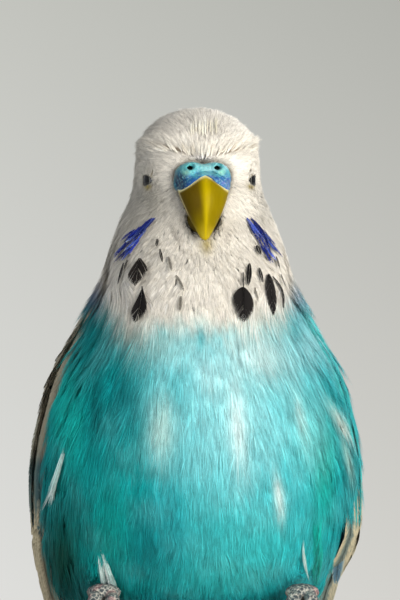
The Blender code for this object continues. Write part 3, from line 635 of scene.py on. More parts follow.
def skin_paths(roots, normals, lengths, draw):
    """Lines over the skin from roots, along the lie of the coat."""
    calm = np.interp(roots[:, 2], [50.0, 66.0], [1.0, 0.55])
    sway = np.radians(5.0 * drift(roots, 9.0, 21) + STRAY * calm * draw.normal(size=len(roots)))
    points, ups = [roots], [normals]
    for _ in range(PATH_STEPS):
        way = turned_about(lie(points[-1], ups[-1]), ups[-1], sway)
        place, up = on_skin(points[-1] + way * (lengths / PATH_STEPS)[:, None])
        points.append(place)
        ups.append(unit(up + ups[-1]))
    return np.stack(points, axis=1), np.stack(ups, axis=1)


def ribbons(
    paths, ups, start, end, across_start, across_end, bend, height, width, roll, rows=BARB_ROWS
):
    """Tapered ribbons over feathers' lines: one for each feather and barb. start and end are shares of
    the line, and the places across it and heights are millimetres. Gives the corners, the line's shares
    and the places across."""
    q = np.linspace(0.0, 1.0, rows + 1)
    a = start[..., None] + (end - start)[..., None] * q
    x = across_start[..., None] + (across_end - across_start)[..., None] * q**bend
    last = paths.shape[1] - 1
    spot = np.clip(a, 0.0, 0.9999) * last
    i = spot.astype(int)
    part = (spot - i)[..., None]
    one = np.arange(len(paths))[:, None, None]
    here, there = paths[one, i], paths[one, i + 1]
    along = unit(there - here)
    up = unit(ups[one, i] * (1 - part) + ups[one, i + 1] * part)
    side = unit(np.cross(up, along))
    lift = height(a, x)[..., None]
    line = here * (1 - part) + there * part + side * x[..., None] + up * lift
    barb = unit(np.gradient(line, axis=2))
    flat = unit(np.cross(up, barb))
    tilt = roll[..., None, None]
    flat = flat * np.cos(tilt) + np.cross(barb, flat) * np.sin(tilt)
    half = (width[..., None] * (1.0 - 0.5 * q))[..., None] / 2
    corners = np.empty((*line.shape[:2], 2 * rows + 1, 3))
    corners[:, :, 0 : 2 * rows : 2] = (line - flat * half)[:, :, :rows]
    corners[:, :, 1 : 2 * rows : 2] = (line + flat * half)[:, :, :rows]
    corners[:, :, -1] = line[:, :, -1]
    return corners, a, x, line


def ribbon_faces(count, rows=BARB_ROWS):
    one = []
    for i in range(0, 2 * rows - 2, 2):
        one += [(i, i + 3, i + 1), (i, i + 2, i + 3)]
    one.append((2 * rows - 2, 2 * rows, 2 * rows - 1))
    return (np.array(one)[None] + np.arange(count)[:, None, None] * (2 * rows + 1)).reshape(-1, 3)


def to_corners(values, rows=BARB_ROWS):
    """Values along the ribbons' lines, given to their corners."""
    pairs = np.repeat(values[:, :, :rows], 2, axis=2)
    return np.concatenate([pairs, values[:, :, rows:]], axis=2)


def unwrapped(points):
    """Where points lie on the skin laid flat: round the body, and up it from rump to crown."""
    middle = body_middle(points[..., 2])
    turn = np.arctan2(points[..., 0], middle - points[..., 1])
    reach = np.hypot(points[..., 0], points[..., 1] - middle)
    dome = np.degrees(np.arctan2(np.maximum(points[..., 2] - 66.0, 0.0), reach))
    rise = np.minimum(points[..., 2], 66.0) + 0.3 * dome
    share = np.stack([turn / (2 * math.pi) + 0.5, (rise + 36.0) / 130.0], axis=-1)
    return 0.02 + 0.96 * share


def feather_object(name, bundles):
    """One mesh of ribbons from (corners, faces, colours, map) bundles."""
    points = np.concatenate([b[0].reshape(-1, 3) for b in bundles])
    colours = np.concatenate([b[2].reshape(-1, 3) for b in bundles])
    flat_map = np.concatenate([b[3].reshape(-1, 2) for b in bundles])
    faces, first = [], 0
    for corners, own, _, _ in bundles:
        faces.append(own + first)
        first += corners.reshape(-1, 3).shape[0]
    faces = np.concatenate(faces)
    mesh = bpy.data.meshes.new(name)
    mesh.vertices.add(len(points))
    mesh.vertices.foreach_set("co", to_world(points).astype(np.float32).ravel())
    mesh.loops.add(faces.size)
    mesh.loops.foreach_set("vertex_index", faces.astype(np.int32).ravel())
    mesh.polygons.add(len(faces))
    mesh.polygons.foreach_set("loop_start", np.arange(0, faces.size, 3, dtype=np.int32))
    mesh.update(calc_edges=True)
    layer = mesh.uv_layers.new(name="OFBake")
    layer.data.foreach_set("uv", flat_map[faces.ravel()].astype(np.float32).ravel())
    piece = bpy.data.objects.new(name, mesh)
    bpy.context.scene.collection.objects.link(piece)
    paint_points(piece, colours)
    make_active(piece)
    bpy.ops.object.shade_smooth()
    return piece


def fan_of_barbs(
    paths, ups, lengths, barbs, width, draw, shade, spread=0.2, mixing=0.9, streaks=0.14
):
    """Contour feathers along lines: barbs that part from the root and run on nearly side by side. shade
    gives the colours at points, mixing is how far barbs take them from beside their place, and streaks
    how much they differ in light."""
    count = len(paths)
    size = (count, barbs)
    v = np.linspace(-1.0, 1.0, barbs) + draw.normal(scale=1.2 / barbs, size=size)
    half = (np.asarray(spread) * lengths)[:, None]
    end = 1.0 - 0.30 * np.abs(v) ** 1.8 - np.abs(draw.normal(scale=0.12, size=size))
    start = draw.uniform(0.0, 0.30, size=size)
    end = np.clip(np.maximum(end, start + 0.3), 0.0, 1.0)
    fluff = draw.normal(scale=0.05, size=size)[..., None] * np.sqrt(lengths)[:, None, None]
    top = (0.30 + 0.085 * lengths)[:, None, None] * (1.0 + 0.2 * draw.normal(size=(count, 1, 1)))
    above = above_crease(paths[:, 0])
    puff = np.exp(-(((above - 0.9) / 0.7) ** 2)) * (paths[:, 0, 1] < -6.0)
    top = top * (1.0 + 0.9 * puff)[:, None, None]

    def height(a, x):
        return 0.02 + top * a**0.8 + fluff * a - 0.10 * (x / half[..., None]) ** 2 * a

    widths = np.broadcast_to(width, size) * draw.uniform(0.7, 1.3, size=size)
    roll = draw.normal(scale=0.2, size=size)
    corners, a, x, line = ribbons(
        paths, ups, start, end, v * half * 0.3, v * half, 0.8, height, widths, roll
    )
    # Each barb keeps its own streak of light or dark, and takes its markings a little up or down its line
    grown = np.minimum(lengths / 7.0, 1.0)[:, None, None, None]
    shift = draw.normal(scale=mixing, size=(*size, 1, 1)) * grown
    along = unit(paths[:, -1] - paths[:, 0])[:, None, None, :]
    colours = shade(line + along * shift)
    streak = draw.normal(scale=streaks, size=(*size, 1, 1))
    streak = streak + draw.normal(scale=streaks / 2, size=(count, 1, 1, 1))
    dark = draw.random((*size, 1, 1)) < 0.07
    colours = np.clip(colours * np.where(dark, 0.58, np.exp(streak)), 0.0, 0.96)
    root = unwrapped(paths[:, 0])[:, None, None, :]
    local = np.stack([x / half[..., None] * 0.5, a - 0.5], axis=-1) * BAKE_PATCH
    return (
        corners,
        ribbon_faces(count * barbs),
        to_corners(colours),
        to_corners(root + local),
    )


def dyed(name, grain, detail, tones, gloss=(), relief=(), drawn=(1.0, 1.0, 1.0), swirl=0.0, **settings):
    """A material in its piece's own tint, mottled from a darker to a paler tone in grains of a size.
    gloss is their range of roughness, and relief their strength and depth. drawn stretches them each
    way, and swirl bends them."""
    made, tree, shader = new_material(name, **settings)
    tint = add_node(tree, "Attribute", attribute_name="tint").outputs["Color"]
    coords = add_node(tree, "TexCoord").outputs["Object"]
    coords = add_node(tree, "Mapping", {"Vector": coords, "Scale": drawn}).outputs["Vector"]
    grains = {"Vector": coords, "Scale": 1.0 / (grain * MM), "Detail": detail, "Distortion": swirl}
    mottle = add_node(tree, "TexNoise", grains).outputs["Fac"]
    tone = add_node(tree, "MapRange", {"Value": mottle, "To Min": tones[0], "To Max": tones[1]})
    toned = add_node(tree, "HueSaturation", {"Color": tint, "Value": tone.outputs["Result"]})
    feed(shader, Base_Color=toned.outputs["Color"])
    if gloss:
        rough = add_node(tree, "MapRange", {"Value": mottle, "To Min": gloss[0], "To Max": gloss[1]})
        feed(shader, Roughness=rough.outputs["Result"])
    if relief:
        raised = {"Height": mottle, "Strength": relief[0], "Distance": relief[1] * MM}
        feed(shader, Normal=add_node(tree, "Bump", raised).outputs["Normal"])
    return made


# Barbs of keratin, dyed through: matt, with a soft sheen from their fine down and a little gloss
coat_finish = dyed(
    "soft contour feathers", 1.6, 2.0, (0.88, 1.1), gloss=(0.52, 0.74),
    Sheen_Weight=0.03, Sheen_Roughness=0.45, Specular_IOR_Level=0.12,
)


def node_tree_of(nodes):
    """One search tree over nodes of the solids, in the bird's frame."""
    points, faces = [], []
    for node in nodes:
        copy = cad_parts[node]
        first = len(points)
        points += points_of(copy).tolist()
        faces += (triangles_of(copy) + first).tolist()
    return BVHTree.FromPolygons(points, faces)


wing_tree = node_tree_of(["wing_left", "wing_right"])
face_tree = node_tree_of(["cere", "bill_upper", "bill_lower"])
solid_tree = node_tree_of(["foot_left", "foot_right", "perch"])


def inside(tree, point, margin):
    place, normal, _, distance = tree.find_nearest(point)
    return distance < margin or (Vector(point) - place).dot(normal) < 0.0 and distance < 6.0


def open_roots(roots, normals):
    """Which roots aren't hidden under a wing or buried in the bill, a foot or the eye's socket."""
    keep = np.ones(len(roots), bool)
    for i, (root, up) in enumerate(zip(roots.tolist(), normals.tolist())):
        start = Vector(root) + Vector(up) * 0.1
        under_wing = wing_tree.ray_cast(start, up, 7.0)[0] is not None
        keep[i] = not under_wing and not inside(face_tree, root, 0.25) and not inside(solid_tree, root, 0.3)
    for eye, facing in zip(eyes, eye_facing):
        along = (roots - eye) @ facing
        aside = np.linalg.norm(roots - eye - along[:, None] * facing, axis=1)
        keep &= (aside > SOCKET_REACH - 0.5) | (along < -4.0)
    return keep


def clear_paths(paths, ups, lengths):
    """Which feathers end clear of the bill, the feet and the eyes."""
    tips = paths[:, -1] + ups[:, -1] * (0.25 + 0.05 * lengths)[:, None]
    middles = (paths[:, 1] + paths[:, 2]) / 2 + (ups[:, 1] * 0.2)
    keep = np.ones(len(paths), bool)
    for i in range(len(paths)):
        for point in (tips[i].tolist(), middles[i].tolist()):
            if inside(face_tree, point, 0.1) or inside(solid_tree, point, 0.1):
                keep[i] = False
    for eye, facing in zip(eyes, eye_facing):
        for points in (tips, middles):
            keep &= np.linalg.norm(points - (eye + facing * 2.4), axis=1) > 1.7
    return keep


def band(low, high, side=0, front=None):
    """A test for roots between two heights, on one side of the bird, and on its front or back."""

    def belongs(p):
        kept = (p[..., 2] > low) & (p[..., 2] <= high)
        if side:
            kept &= (p[..., 0] - 0.6) * side > 0
        if front is not None:
            kept &= (p[..., 1] < body_middle(p[..., 2]) + (4.0 if high < 70.0 else -5.0)) == front
        return kept

    return belongs


# Each part of the coat: where its roots are, feathers a square millimetre where they are 8 mm long,
# barbs of one feather, their width, how far a feather spreads for its length, and its slot
COAT_PARTS = [
    ("coat_face_left", band(62.0, 99.0, 1, True), 0.78, 16, 0.058, 0.23, "white_plumage"),
    ("coat_face_right", band(62.0, 99.0, -1, True), 0.78, 16, 0.058, 0.23, "white_plumage"),
    ("coat_crown", band(62.0, 99.0, 0, False), 0.58, 23, 0.075, 0.23, "white_plumage"),
    ("coat_bib_left", band(43.0, 62.0, 1, True), 0.52, 46, 0.085, 0.20, "white_plumage"),
    ("coat_bib_right", band(43.0, 62.0, -1, True), 0.52, 46, 0.085, 0.20, "white_plumage"),
    ("coat_nape", band(43.0, 62.0, 0, False), 0.52, 38, 0.10, 0.23, "white_plumage"),
    ("coat_breast_left", band(12.0, 43.0, 1, True), 0.56, 62, 0.088, 0.19, "blue_plumage"),
    ("coat_breast_right", band(12.0, 43.0, -1, True), 0.56, 62, 0.088, 0.19, "blue_plumage"),
    ("coat_belly_left", band(-16.0, 12.0, 1), 0.50, 50, 0.10, 0.19, "blue_plumage"),
    ("coat_belly_right", band(-16.0, 12.0, -1), 0.50, 50, 0.10, 0.19, "blue_plumage"),
    ("coat_back", band(12.0, 43.0, 0, False), 0.46, 40, 0.12, 0.22, "blue_plumage"),
    ("coat_rump", band(-60.0, -16.0), 0.60, 46, 0.12, 0.21, "blue_plumage"),
]
for number, (name, belongs, cover, barbs, width, spread, slot) in enumerate(COAT_PARTS):
    draw = np.random.default_rng(100 + number)

    def density(p, belongs=belongs, cover=cover):
        return belongs(p) * cover * THIN_OUT * (8.0 / feather_length(p)) ** 1.6

    roots, normals = scattered(density, draw)
    keep = open_roots(roots, normals)
    roots, normals = roots[keep], normals[keep]
    lengths = feather_length(roots) * draw.uniform(0.85, 1.15, len(roots))
    paths, ups = skin_paths(roots, normals, lengths, draw)
    keep = clear_paths(paths, ups, lengths)
    paths, ups, lengths = paths[keep], ups[keep], lengths[keep]
    mixing, streaks = (0.45, 0.09) if slot == "white_plumage" else (0.9, 0.16)
    bundle = fan_of_barbs(paths, ups, lengths, barbs, width, draw, plumage, spread, mixing, streaks)
    hand_over(feather_object(name, [bundle]), coat_finish, slot)


# The folded wings: an arm under small coverts, tiers of larger coverts below it, and the long quills of
# hand and forearm. Every vane is made of its own barbs, set off a shaft, and the left wing is mirrored.

WING_Z = [-31.0, -20.0, -10.0, 0.0, 10.0, 20.3, 33.7, 45.3, 56.0]
wing_half_width = smooth_curve(WING_Z, [6.6, 12.3, 18.7, 23.7, 25.5, 25.7, 23.6, 18.5, 13.7])
wing_middle = smooth_curve(WING_Z, [40.6, 31.6, 22.6, 14.4, 7.2, 1.4, -2.9, -4.0, -3.6])
wing_half_depth = smooth_curve(WING_Z, [7.2, 11.8, 16.4, 20.6, 24.3, 26.7, 26.0, 22.5, 18.2])
WING_TOP, WING_TIP = 55.5, -31.5
EDGE_T = [0.0, 0.08, 0.2, 0.5, 0.75, 1.0]
wing_front = smooth_curve(EDGE_T, [0.0, -10.0, -9.0, -6.0, -6.0, 30.0])
wing_rear = smooth_curve(EDGE_T, [62.0, 80.0, 90.0, 90.0, 90.0, 88.0])
ROUNDNESS = 2.15  # of the body's section, where 2 is an ellipse
SHINGLE = math.tan(math.radians(7.0))  # each vane's front edge lies over the vane before it
QUILL_STEPS = 10
VANE_ROWS = 3  # strips along one barb of a stiff vane
CLUMPS = 14  # of barbs that hold together, along each side of a vane


def wing_surface(t, s):
    """Points of the left wing's bed: t from shoulder to tip, s from its front edge to the spine."""
    z = WING_TOP + (WING_TIP - WING_TOP) * t
    turn = np.radians(wing_front(t) + (wing_rear(t) - wing_front(t)) * s)
    c, r = np.cos(turn), np.sin(turn)
    x = wing_half_width(z) * np.sign(c) * np.abs(c) ** (2 / ROUNDNESS)
    y = wing_middle(z) + wing_half_depth(z) * np.sign(r) * np.abs(r) ** (2 / ROUNDNESS)
    return np.stack([x, y, z], axis=-1)


def wing_normal(t, s):
    step = 0.004
    across = wing_surface(t, s + step) - wing_surface(t, s - step)
    down = wing_surface(t + step, s) - wing_surface(t - step, s)
    return unit(np.cross(down, across))


def wing_lines(roots, tips, heights):
    """Lines over the wing's bed from (t, s) roots to tips, lifted from one height to another."""
    q = np.linspace(0.0, 1.0, QUILL_STEPS + 1)
    t = roots[:, :1] + (tips - roots)[:, :1] * q
    s = roots[:, 1:] + (tips - roots)[:, 1:] * q**1.25
    ups = wing_normal(t, s)
    lift = heights[:, :1] + (heights[:, 1:] - heights[:, :1]) * q
    lift = lift * (0.12 + 0.88 * smooth_step(t / 0.2))
    return wing_surface(t, s) + ups * lift[..., None], ups


def quill_shape(blunt):
    """A vane's half width along it, as a share of its greatest: narrow at the root, round at the tip."""

    def shape(e):
        root = 0.55 + 0.45 * np.minimum(e / 0.35, 1.0)
        return root * np.sqrt(np.maximum(1.0 - np.maximum((e - blunt) / (1.005 - blunt), 0.0) ** 2.2, 0.0))

    return shape


def vaned(paths, ups, halves, webs, shape, barbs, pattern, draw, tiles, lean=SHINGLE, uneven=0.06):
    """Feathers with shafts: barbs set off both sides of each line. webs are the shares of the half
    width on the side towards the front and on the side towards the spine, shape gives the half width
    along the vane, and uneven is how much whole feathers differ in light."""
    count = len(paths)
    lengths = np.linalg.norm(np.diff(paths, axis=1), axis=2).sum(axis=1)[:, None]
    side = np.repeat([-1.0, 1.0], barbs)[None]
    e = np.tile(np.linspace(0.04, 1.0, barbs), 2)[None]
    e = e + draw.normal(scale=0.15 / barbs, size=(count, 2 * barbs))
    splits = draw.normal(scale=0.010, size=(count, 2, CLUMPS))
    clump = (e * (CLUMPS - 0.01)).astype(int).clip(0, CLUMPS - 1)
    e = np.clip(e + splits[np.arange(count)[:, None], (side > 0).astype(int), clump], 0.03, 1.0)
    web = np.where(side < 0, webs[0], webs[1])
    reach = halves[:, None] * web * shape(e)
    start = np.clip(e - 1.7 * reach / lengths - 0.012, 0.0, 1.0)
    width = lengths / barbs * 0.95 + 0.05
    width = np.broadcast_to(width, e.shape) * draw.uniform(0.9, 1.15, size=e.shape)
    roll = side * 0.16 + draw.normal(scale=0.05, size=e.shape)

    def height(a, x):
        return -lean * x - 0.035 * x * x

    root = 0.06 * side * np.ones_like(e)
    corners, a, x, _ = ribbons(
        paths, ups, start, e, root, side * reach, 0.85, height, width, roll, VANE_ROWS
    )
    edge = np.abs(x) / np.maximum(halves[:, None, None] * web[..., None] * shape(a), 0.05)
    tone = draw.normal(scale=0.07, size=(*e.shape, 1, 1))
    tone = tone + draw.normal(scale=uneven, size=(count, 1, 1, 1))
    colours = np.clip(pattern(a, x, edge) * np.exp(tone), 0.0, 0.95)
    flat = atlas(np.clip(x / halves[:, None, None] * 0.5 + 0.5, 0, 1), a, tiles)
    vane = (
        corners,
        ribbon_faces(count * 2 * barbs, VANE_ROWS),
        to_corners(colours, VANE_ROWS),
        to_corners(flat, VANE_ROWS),
    )
    # The shaft: a low ridge of two strips
    rows = QUILL_STEPS
    two = np.array([[-1.0, 1.0]]) * np.ones((count, 1))
    corners, a, x, _ = ribbons(
        paths,
        ups,
        np.zeros_like(two),
        np.full_like(two, 0.97),
        two * 0.07,
        two * 0.02,
        1.0,
        lambda a, x: 0.05 + 0 * a,
        0.05 * halves[:, None] * np.ones_like(two) + 0.07,
        two * 0.7,
        rows,
    )
    tint = np.clip(pattern(a, x, 0 * a) * 0.75 + 0.004, 0.0, 0.9)
    flat = atlas(0.5 + 0 * a, a, tiles)
    shaft = (corners, ribbon_faces(count * 2, rows), to_corners(tint, rows), to_corners(flat, rows))
    return [vane, shaft]


def atlas(u, v, tiles):
    """Where places of each feather lie on a sheet of tiles. tiles gives their first number and how many
    there are in all."""
    first, total = tiles
    wide = math.ceil(math.sqrt(total))
    number = first + np.arange(len(u))[:, None, None]
    column, row = number % wide, number // wide
    return np.stack([column + 0.04 + 0.92 * u, row + 0.04 + 0.92 * v], axis=-1) / wide


def mirrored(bundle):
    corners, faces, colours, flat = bundle
    return corners * np.array([-1.0, 1.0, 1.0]), faces[:, ::-1], colours, flat


def spine_clear(bundle, clearance=0.15):
    """Keeps the left wing's feathers on their own side of the spine."""
    corners, faces, colours, flat = bundle
    corners[..., 0] = np.maximum(corners[..., 0], clearance)
    return corners, faces, colours, flat


TIP_START = 0.93  # of a vane's length, where its border closes round the tip


def edged(inner, outer, start=0.66, soft=0.22):
    """A vane in one colour along its middle and another round its border, darkest by the shaft."""

    def pattern(a, x, edge):
        share = smooth_step((edge - start) / soft)
        share = np.maximum(share, smooth_step((a - TIP_START) / (1.0 - TIP_START)))
        near_shaft = 1.0 - 0.35 * np.exp(-((x / 0.5) ** 2))
        return blended(inner, outer, share) * near_shaft[..., None]

    return pattern


def grid_of(first, second):
    return np.stack(np.broadcast_arrays(np.asarray(first, float), np.asarray(second, float)), axis=-1)


def wing_tiers(teal):
    """The left wing's feathers from the lowest tier up: roots, tips, half width, heights, webs,
    bluntness, barbs each side and colours. A teal wing has sea-blue coverts near its front."""
    i = np.arange(9)
    tiers = [
        (
            grid_of(0.31 + 0.011 * i, 0.09 + 0.050 * i),
            grid_of(1.0 - 0.030 * np.abs(i - 1.2) ** 1.15, 0.20 + 0.078 * i),
            3.1, grid_of(0.55 + 0.02 * i, 0.85 + 0.03 * i), (0.6, 1.0), 0.62, 90,
            edged("#5d584a", "#a89d80", 0.55),
        ),
        (
            grid_of(0.28 + 0 * i, 0.10 + 0.100 * i),
            grid_of(0.71 - 0.005 * (i - 4.4) ** 2, 0.15 + 0.096 * i),
            4.0, grid_of(1.15 + 0.02 * i, 1.30 + 0.03 * i), (0.75, 1.0), 0.66, 70,
            edged("#4d5150", "#a5a290", 0.66),
        ),
        (
            grid_of(0.17 + 0 * i, 0.07 + 0.103 * i),
            grid_of(0.46 - 0.002 * (i - 4.0) ** 2, 0.07 + 0.106 * i),
            3.6, grid_of(1.45 + 0.02 * i, 1.75 + 0.02 * i), (0.9, 1.0), 0.55, 44,
            edged("#3f4b4d", "#b3b2a0", 0.62),
        ),
        (
            grid_of(0.10 + 0 * i, 0.06 + 0.105 * i),
            grid_of(0.33 - 0.0015 * (i - 4.0) ** 2, 0.06 + 0.106 * i),
            3.1, grid_of(1.45 + 0.02 * i, 2.05 + 0.02 * i), (1.0, 1.0), 0.5, 34,
            edged("#424847", "#bab9a8", 0.60),
        ),
    ]
    for row in range(5):
        i = np.arange(12)
        t = 0.005 + 0.042 * (4 - row)
        s = 0.02 + 0.083 * (i + 0.5 * (row % 2))
        bulge = 1.0 + 0.3 * (row - 2) / 2
        front = "#178f93" if teal and row > 1 else "#4a4a44"
        tiers.append(
            (
                grid_of(t, s),
                grid_of(t + 0.105, s + 0.004),
                2.2, grid_of(0.9 + 0.18 * bulge + 0 * i, 2.15 + 0.25 * bulge + 0 * i),
                (1.0, 1.0), 0.45, 22,
                edged(front, "#a8a898", 0.58),
            )
        )
    i = np.arange(6)
    tiers.append(
        (
            grid_of(0.24 + 0.02 * i, 0.03 + 0.012 * i),
            grid_of(0.50 + 0.035 * i, 0.05 + 0.03 * i),
            2.3, grid_of(1.25 + 0.02 * i, 1.55 + 0.02 * i), (0.8, 1.0), 0.6, 36,
            edged("#524d42", "#a39a82", 0.6),
        )
    )
    i = np.arange(8)
    tiers.append(
        (
            grid_of(0.01 + 0.02 * (i // 4), 0.66 + 0.08 * (i % 4)),
            grid_of(0.26 + 0.09 * (i // 4), 0.72 + 0.07 * (i % 4)),
            3.2, grid_of(1.5 + 0.03 * i, 2.45 + 0.03 * i), (1.0, 1.0), 0.5, 34,
            edged("#454a48", "#bcbbac", 0.58),
        )
    )
    return tiers


def held(lines, teal):
    """The left wing is tucked in at its lower end, and the right one stands out in the middle."""
    share = (WING_TOP - lines[..., 2]) / (WING_TOP - WING_TIP)
    if teal:
        lines[..., 0] *= 1.0 - 0.12 * smooth_step((share - 0.50) / 0.12)
    else:
        lines[..., 0] += 0.4 * np.exp(-(((share - 0.43) / 0.12) ** 2)) * (lines[..., 0] > 18.0)
    return lines


def painted_light_front(bundle):
    """The right wing with painted light: paler grey-brown down its front edge, which turns from the lights,
    and dark teal over the quills.
    """
    corners, faces, colours, flat = bundle
    z = corners[..., 2]
    t = np.clip((WING_TOP - z) / (WING_TOP - WING_TIP), 0.0, 1.0)
    behind = corners[..., 1] - wing_surface(t, 0.0 * t)[..., 1]
    near = 1.0 - smooth_step((behind - 2.0) / 11.0)
    colours = blended(colours, "#9a917b", 0.7 * near * smooth_step((z - 22.0) / 4.0))
    middle = smooth_step((z - 14.0) / 2.0) * smooth_step((25.0 - z) / 3.0)
    colours = blended(colours, "#2a5458", 0.6 * near * middle)
    return corners, faces, colours, flat


def tucked_quills(draw):
    """Quills of the left wing that show between it and the flank, and the covert over them."""
    marks = (
        # Partly painted light: the two quills are a paler beige, to lift the shaded gap between wing and
        # flank
        (23.0, 6.0, 13.0, 20.6, 13.5, -2.5, 1.1, "#a89c78", "#5c5440"),
        (22.2, 6.5, 11.0, 19.4, 14.5, -3.5, 1.1, "#9c9070", "#5c5440"),
        (24.4, 2.6, 13.0, 23.2, 7.2, 2.6, 1.15, "#4d7286", "#a9b6ae"),
    )
    q = np.linspace(0.0, 1.0, QUILL_STEPS + 1)[:, None]
    bundles = []
    for number, (x0, y0, z0, x1, y1, z1, half, code, edge_code) in enumerate(marks):
        start, end = np.array([x0, y0, z0]), np.array([x1, y1, z1])
        lines = (start + (end - start) * q)[None]
        ups = np.broadcast_to(unit(np.array([0.25, -1.0, -0.2])), lines.shape).copy()
        bundles += vaned(
            lines, ups, np.array([half]), (1.0, 1.0), quill_shape(0.45), 60,
            edged(code, edge_code, 0.62), draw, (number, len(marks)), 0.0,
        )
    return bundles


def edge_feathers(teal):
    """Marginal coverts down each wing's front edge and the outermost quills, which all face forward:
    roots, tips, half width, heights, colour and border."""
    upper, lower, quills = np.arange(8), np.arange(8, 14), np.arange(4)
    rows = []
    for k, code, edge_code in ((upper, "#5f5948", "#8d846e"), (lower, "#2b4a4e", "#7c877a")):
        if teal:
            code, edge_code = "#0c8284", "#2ea3a3"
        columns = [(-0.035, 0.03, 0.3, 0.6), (0.02, 0.015, 0.7, 1.2)]
        if not teal:
            columns.append((0.06, 0.0, 0.9, 1.5))
        for s, first, low, high in columns:
            root, tip = first + 0.03 * k, first + 0.095 + 0.03 * k
            heights = grid_of(low + 0 * k, high)
            rows.append((grid_of(root, s), grid_of(tip, s), 1.4, heights, code, edge_code))
    code, edge_code = ("#5f6f68", "#ada587") if teal else ("#857b60", "#c2b797")
    rows.append(
        (
            grid_of(0.44 - 0.02 * quills, -0.05 + 0.03 * quills),
            grid_of(0.80 + 0.04 * quills, 0.02 + 0.04 * quills),
            1.5, grid_of(0.4 + 0.25 * quills, 0.9 + 0.2 * quills), code, edge_code,
        )
    )
    return rows


# Quill vanes of keratin: darker and glossier than the down, with a fine silky grain from their barbs
quill_finish = dyed(
    "glossy quill vanes", 1.1, 3.0, (0.8, 1.2), gloss=(0.4, 0.6),
    Sheen_Weight=0.1, Sheen_Roughness=0.4, Specular_IOR_Level=0.45,
)


def wing_arm():
    """The arm and hand under the coverts, as a closed thin body of its own colour."""
    rows, columns = 22, 20
    a = np.linspace(0.0, 1.0, rows)[:, None]
    b = np.linspace(0.0, 1.0, columns)[None]
    t = 0.012 + 0.46 * a + 0 * b
    s = 0.01 + (0.96 - 0.22 * a) * b
    bulge = np.sin(math.pi * b) ** 0.5 * np.sin(math.pi * (0.1 + 0.8 * a)) ** 0.6
    thick = (0.1 + 1.2 * bulge) * (0.2 + 0.8 * smooth_step(t / 0.16))
    top = wing_surface(t, s) + wing_normal(t, s) * thick[..., None]
    bottom = wing_surface(t, s) + wing_normal(t, s) * 0.02
    points = np.concatenate([top.reshape(-1, 3), bottom.reshape(-1, 3)])
    points[:, 0] = np.maximum(points[:, 0], 0.15)
    step = rows * columns
    faces = []
    for i in range(rows - 1):
        for j in range(columns - 1):
            k = i * columns + j
            faces.append((k, k + columns, k + columns + 1, k + 1))
            faces.append((step + k, step + k + 1, step + k + columns + 1, step + k + columns))
    for j in range(columns - 1):
        faces.append((j, j + 1, step + j + 1, step + j))
        k = (rows - 1) * columns + j
        faces.append((k, step + k, step + k + 1, k + 1))
    for i in range(rows - 1):
        k = i * columns
        faces.append((k, step + k, step + k + columns, k + columns))
        k += columns - 1
        faces.append((k, k + columns, step + k + columns, step + k))
    return points, faces


def plain_object(name, points, faces):
    mesh = bpy.data.meshes.new(name)
    mesh.from_pydata(to_world(points).tolist(), [], faces)
    piece = bpy.data.objects.new(name, mesh)
    bpy.context.scene.collection.objects.link(piece)
    make_active(piece)
    bpy.ops.object.mode_set(mode="EDIT")
    bpy.ops.mesh.select_all(action="SELECT")
    bpy.ops.mesh.normals_make_consistent(inside=False)
    bpy.ops.object.mode_set(mode="OBJECT")
    bpy.ops.object.shade_smooth()
    return piece


for number, (word, teal) in enumerate((("left", True), ("right", False))):
    draw = np.random.default_rng(200 + number)
    points, faces = wing_arm()
    if word == "right":
        points = points * np.array([-1.0, 1.0, 1.0])
    arm = plain_object("wing_" + word + "_arm", points, faces)
    paint_points(arm, linear("#0d6f72" if teal else "#45473f"))
    hand_over(arm, skin_finish, "wing_plumage", "wing_" + word)
    tiers = wing_tiers(teal)
    total = sum(len(tier[0]) for tier in tiers)
    bundles, first = [], 0
    for roots, tips, half, heights, webs, blunt, barbs, pattern in tiers:
        if teal:
            # The flank feathers take the place of the coverts along the front of this wing
            kept = (roots[:, 1] > 0.16) | (tips[:, 0] > 0.52)
            roots, tips, heights = roots[kept], tips[kept], heights[kept]
            near = 1.0 - smooth_step((roots[:, 1:] - 0.15) / 0.25)
            heights = heights * (1.0 - 0.55 * near * (roots[:, :1] < 0.26))
        roots = roots + draw.normal(scale=0.004, size=roots.shape)
        tips = tips + draw.normal(scale=0.006, size=tips.shape)
        lines, ups = wing_lines(roots, tips, heights)
        lines = held(lines, teal)
        halves = half * draw.uniform(0.95, 1.05, len(roots))
        shape = quill_shape(blunt)
        bundles += vaned(lines, ups, halves, webs, shape, barbs, pattern, draw, (first, total))
        first += len(roots)
    for roots, tips, half, heights, code, edge_code in edge_feathers(teal):
        roots = roots + draw.normal(scale=0.003, size=roots.shape)
        lines, ups = wing_lines(roots, tips, heights)
        lines = held(lines, teal)
        ups = unit(ups + np.array([0.0, -1.0, 0.0]))
        halves = half * draw.uniform(0.9, 1.1, len(roots))
        barbs = 26 if half < 1.45 else 60
        bundles += vaned(
            lines, ups, halves, (1.0, 1.0), quill_shape(0.55), barbs, edged(code, edge_code, 0.55),
            draw, (0, len(roots)), 0.0,
        )
    bundles = [spine_clear(bundle) for bundle in bundles]
    if word == "right":
        bundles = [mirrored(painted_light_front(bundle)) for bundle in bundles]
    else:
        bundles += tucked_quills(draw)
    piece = feather_object("wing_" + word + "_feathers", bundles)
    hand_over(piece, quill_finish, "wing_plumage", "wing_" + word)


# The tail: six stepped pairs of long quills from a short stump, with coverts over and under their
# roots. The two in the middle are the longest and the darkest blue.

TAIL_ROOT = np.array([0.0, 39.0, -28.6])
TAIL_TIP = np.array([0.0, 63.0, -95.0])
TAIL_LENGTH = np.linalg.norm(TAIL_TIP - TAIL_ROOT)
TAIL_AXIS = (TAIL_TIP - TAIL_ROOT) / TAIL_LENGTH
TAIL_UP = np.cross(TAIL_AXIS, [1.0, 0.0, 0.0])
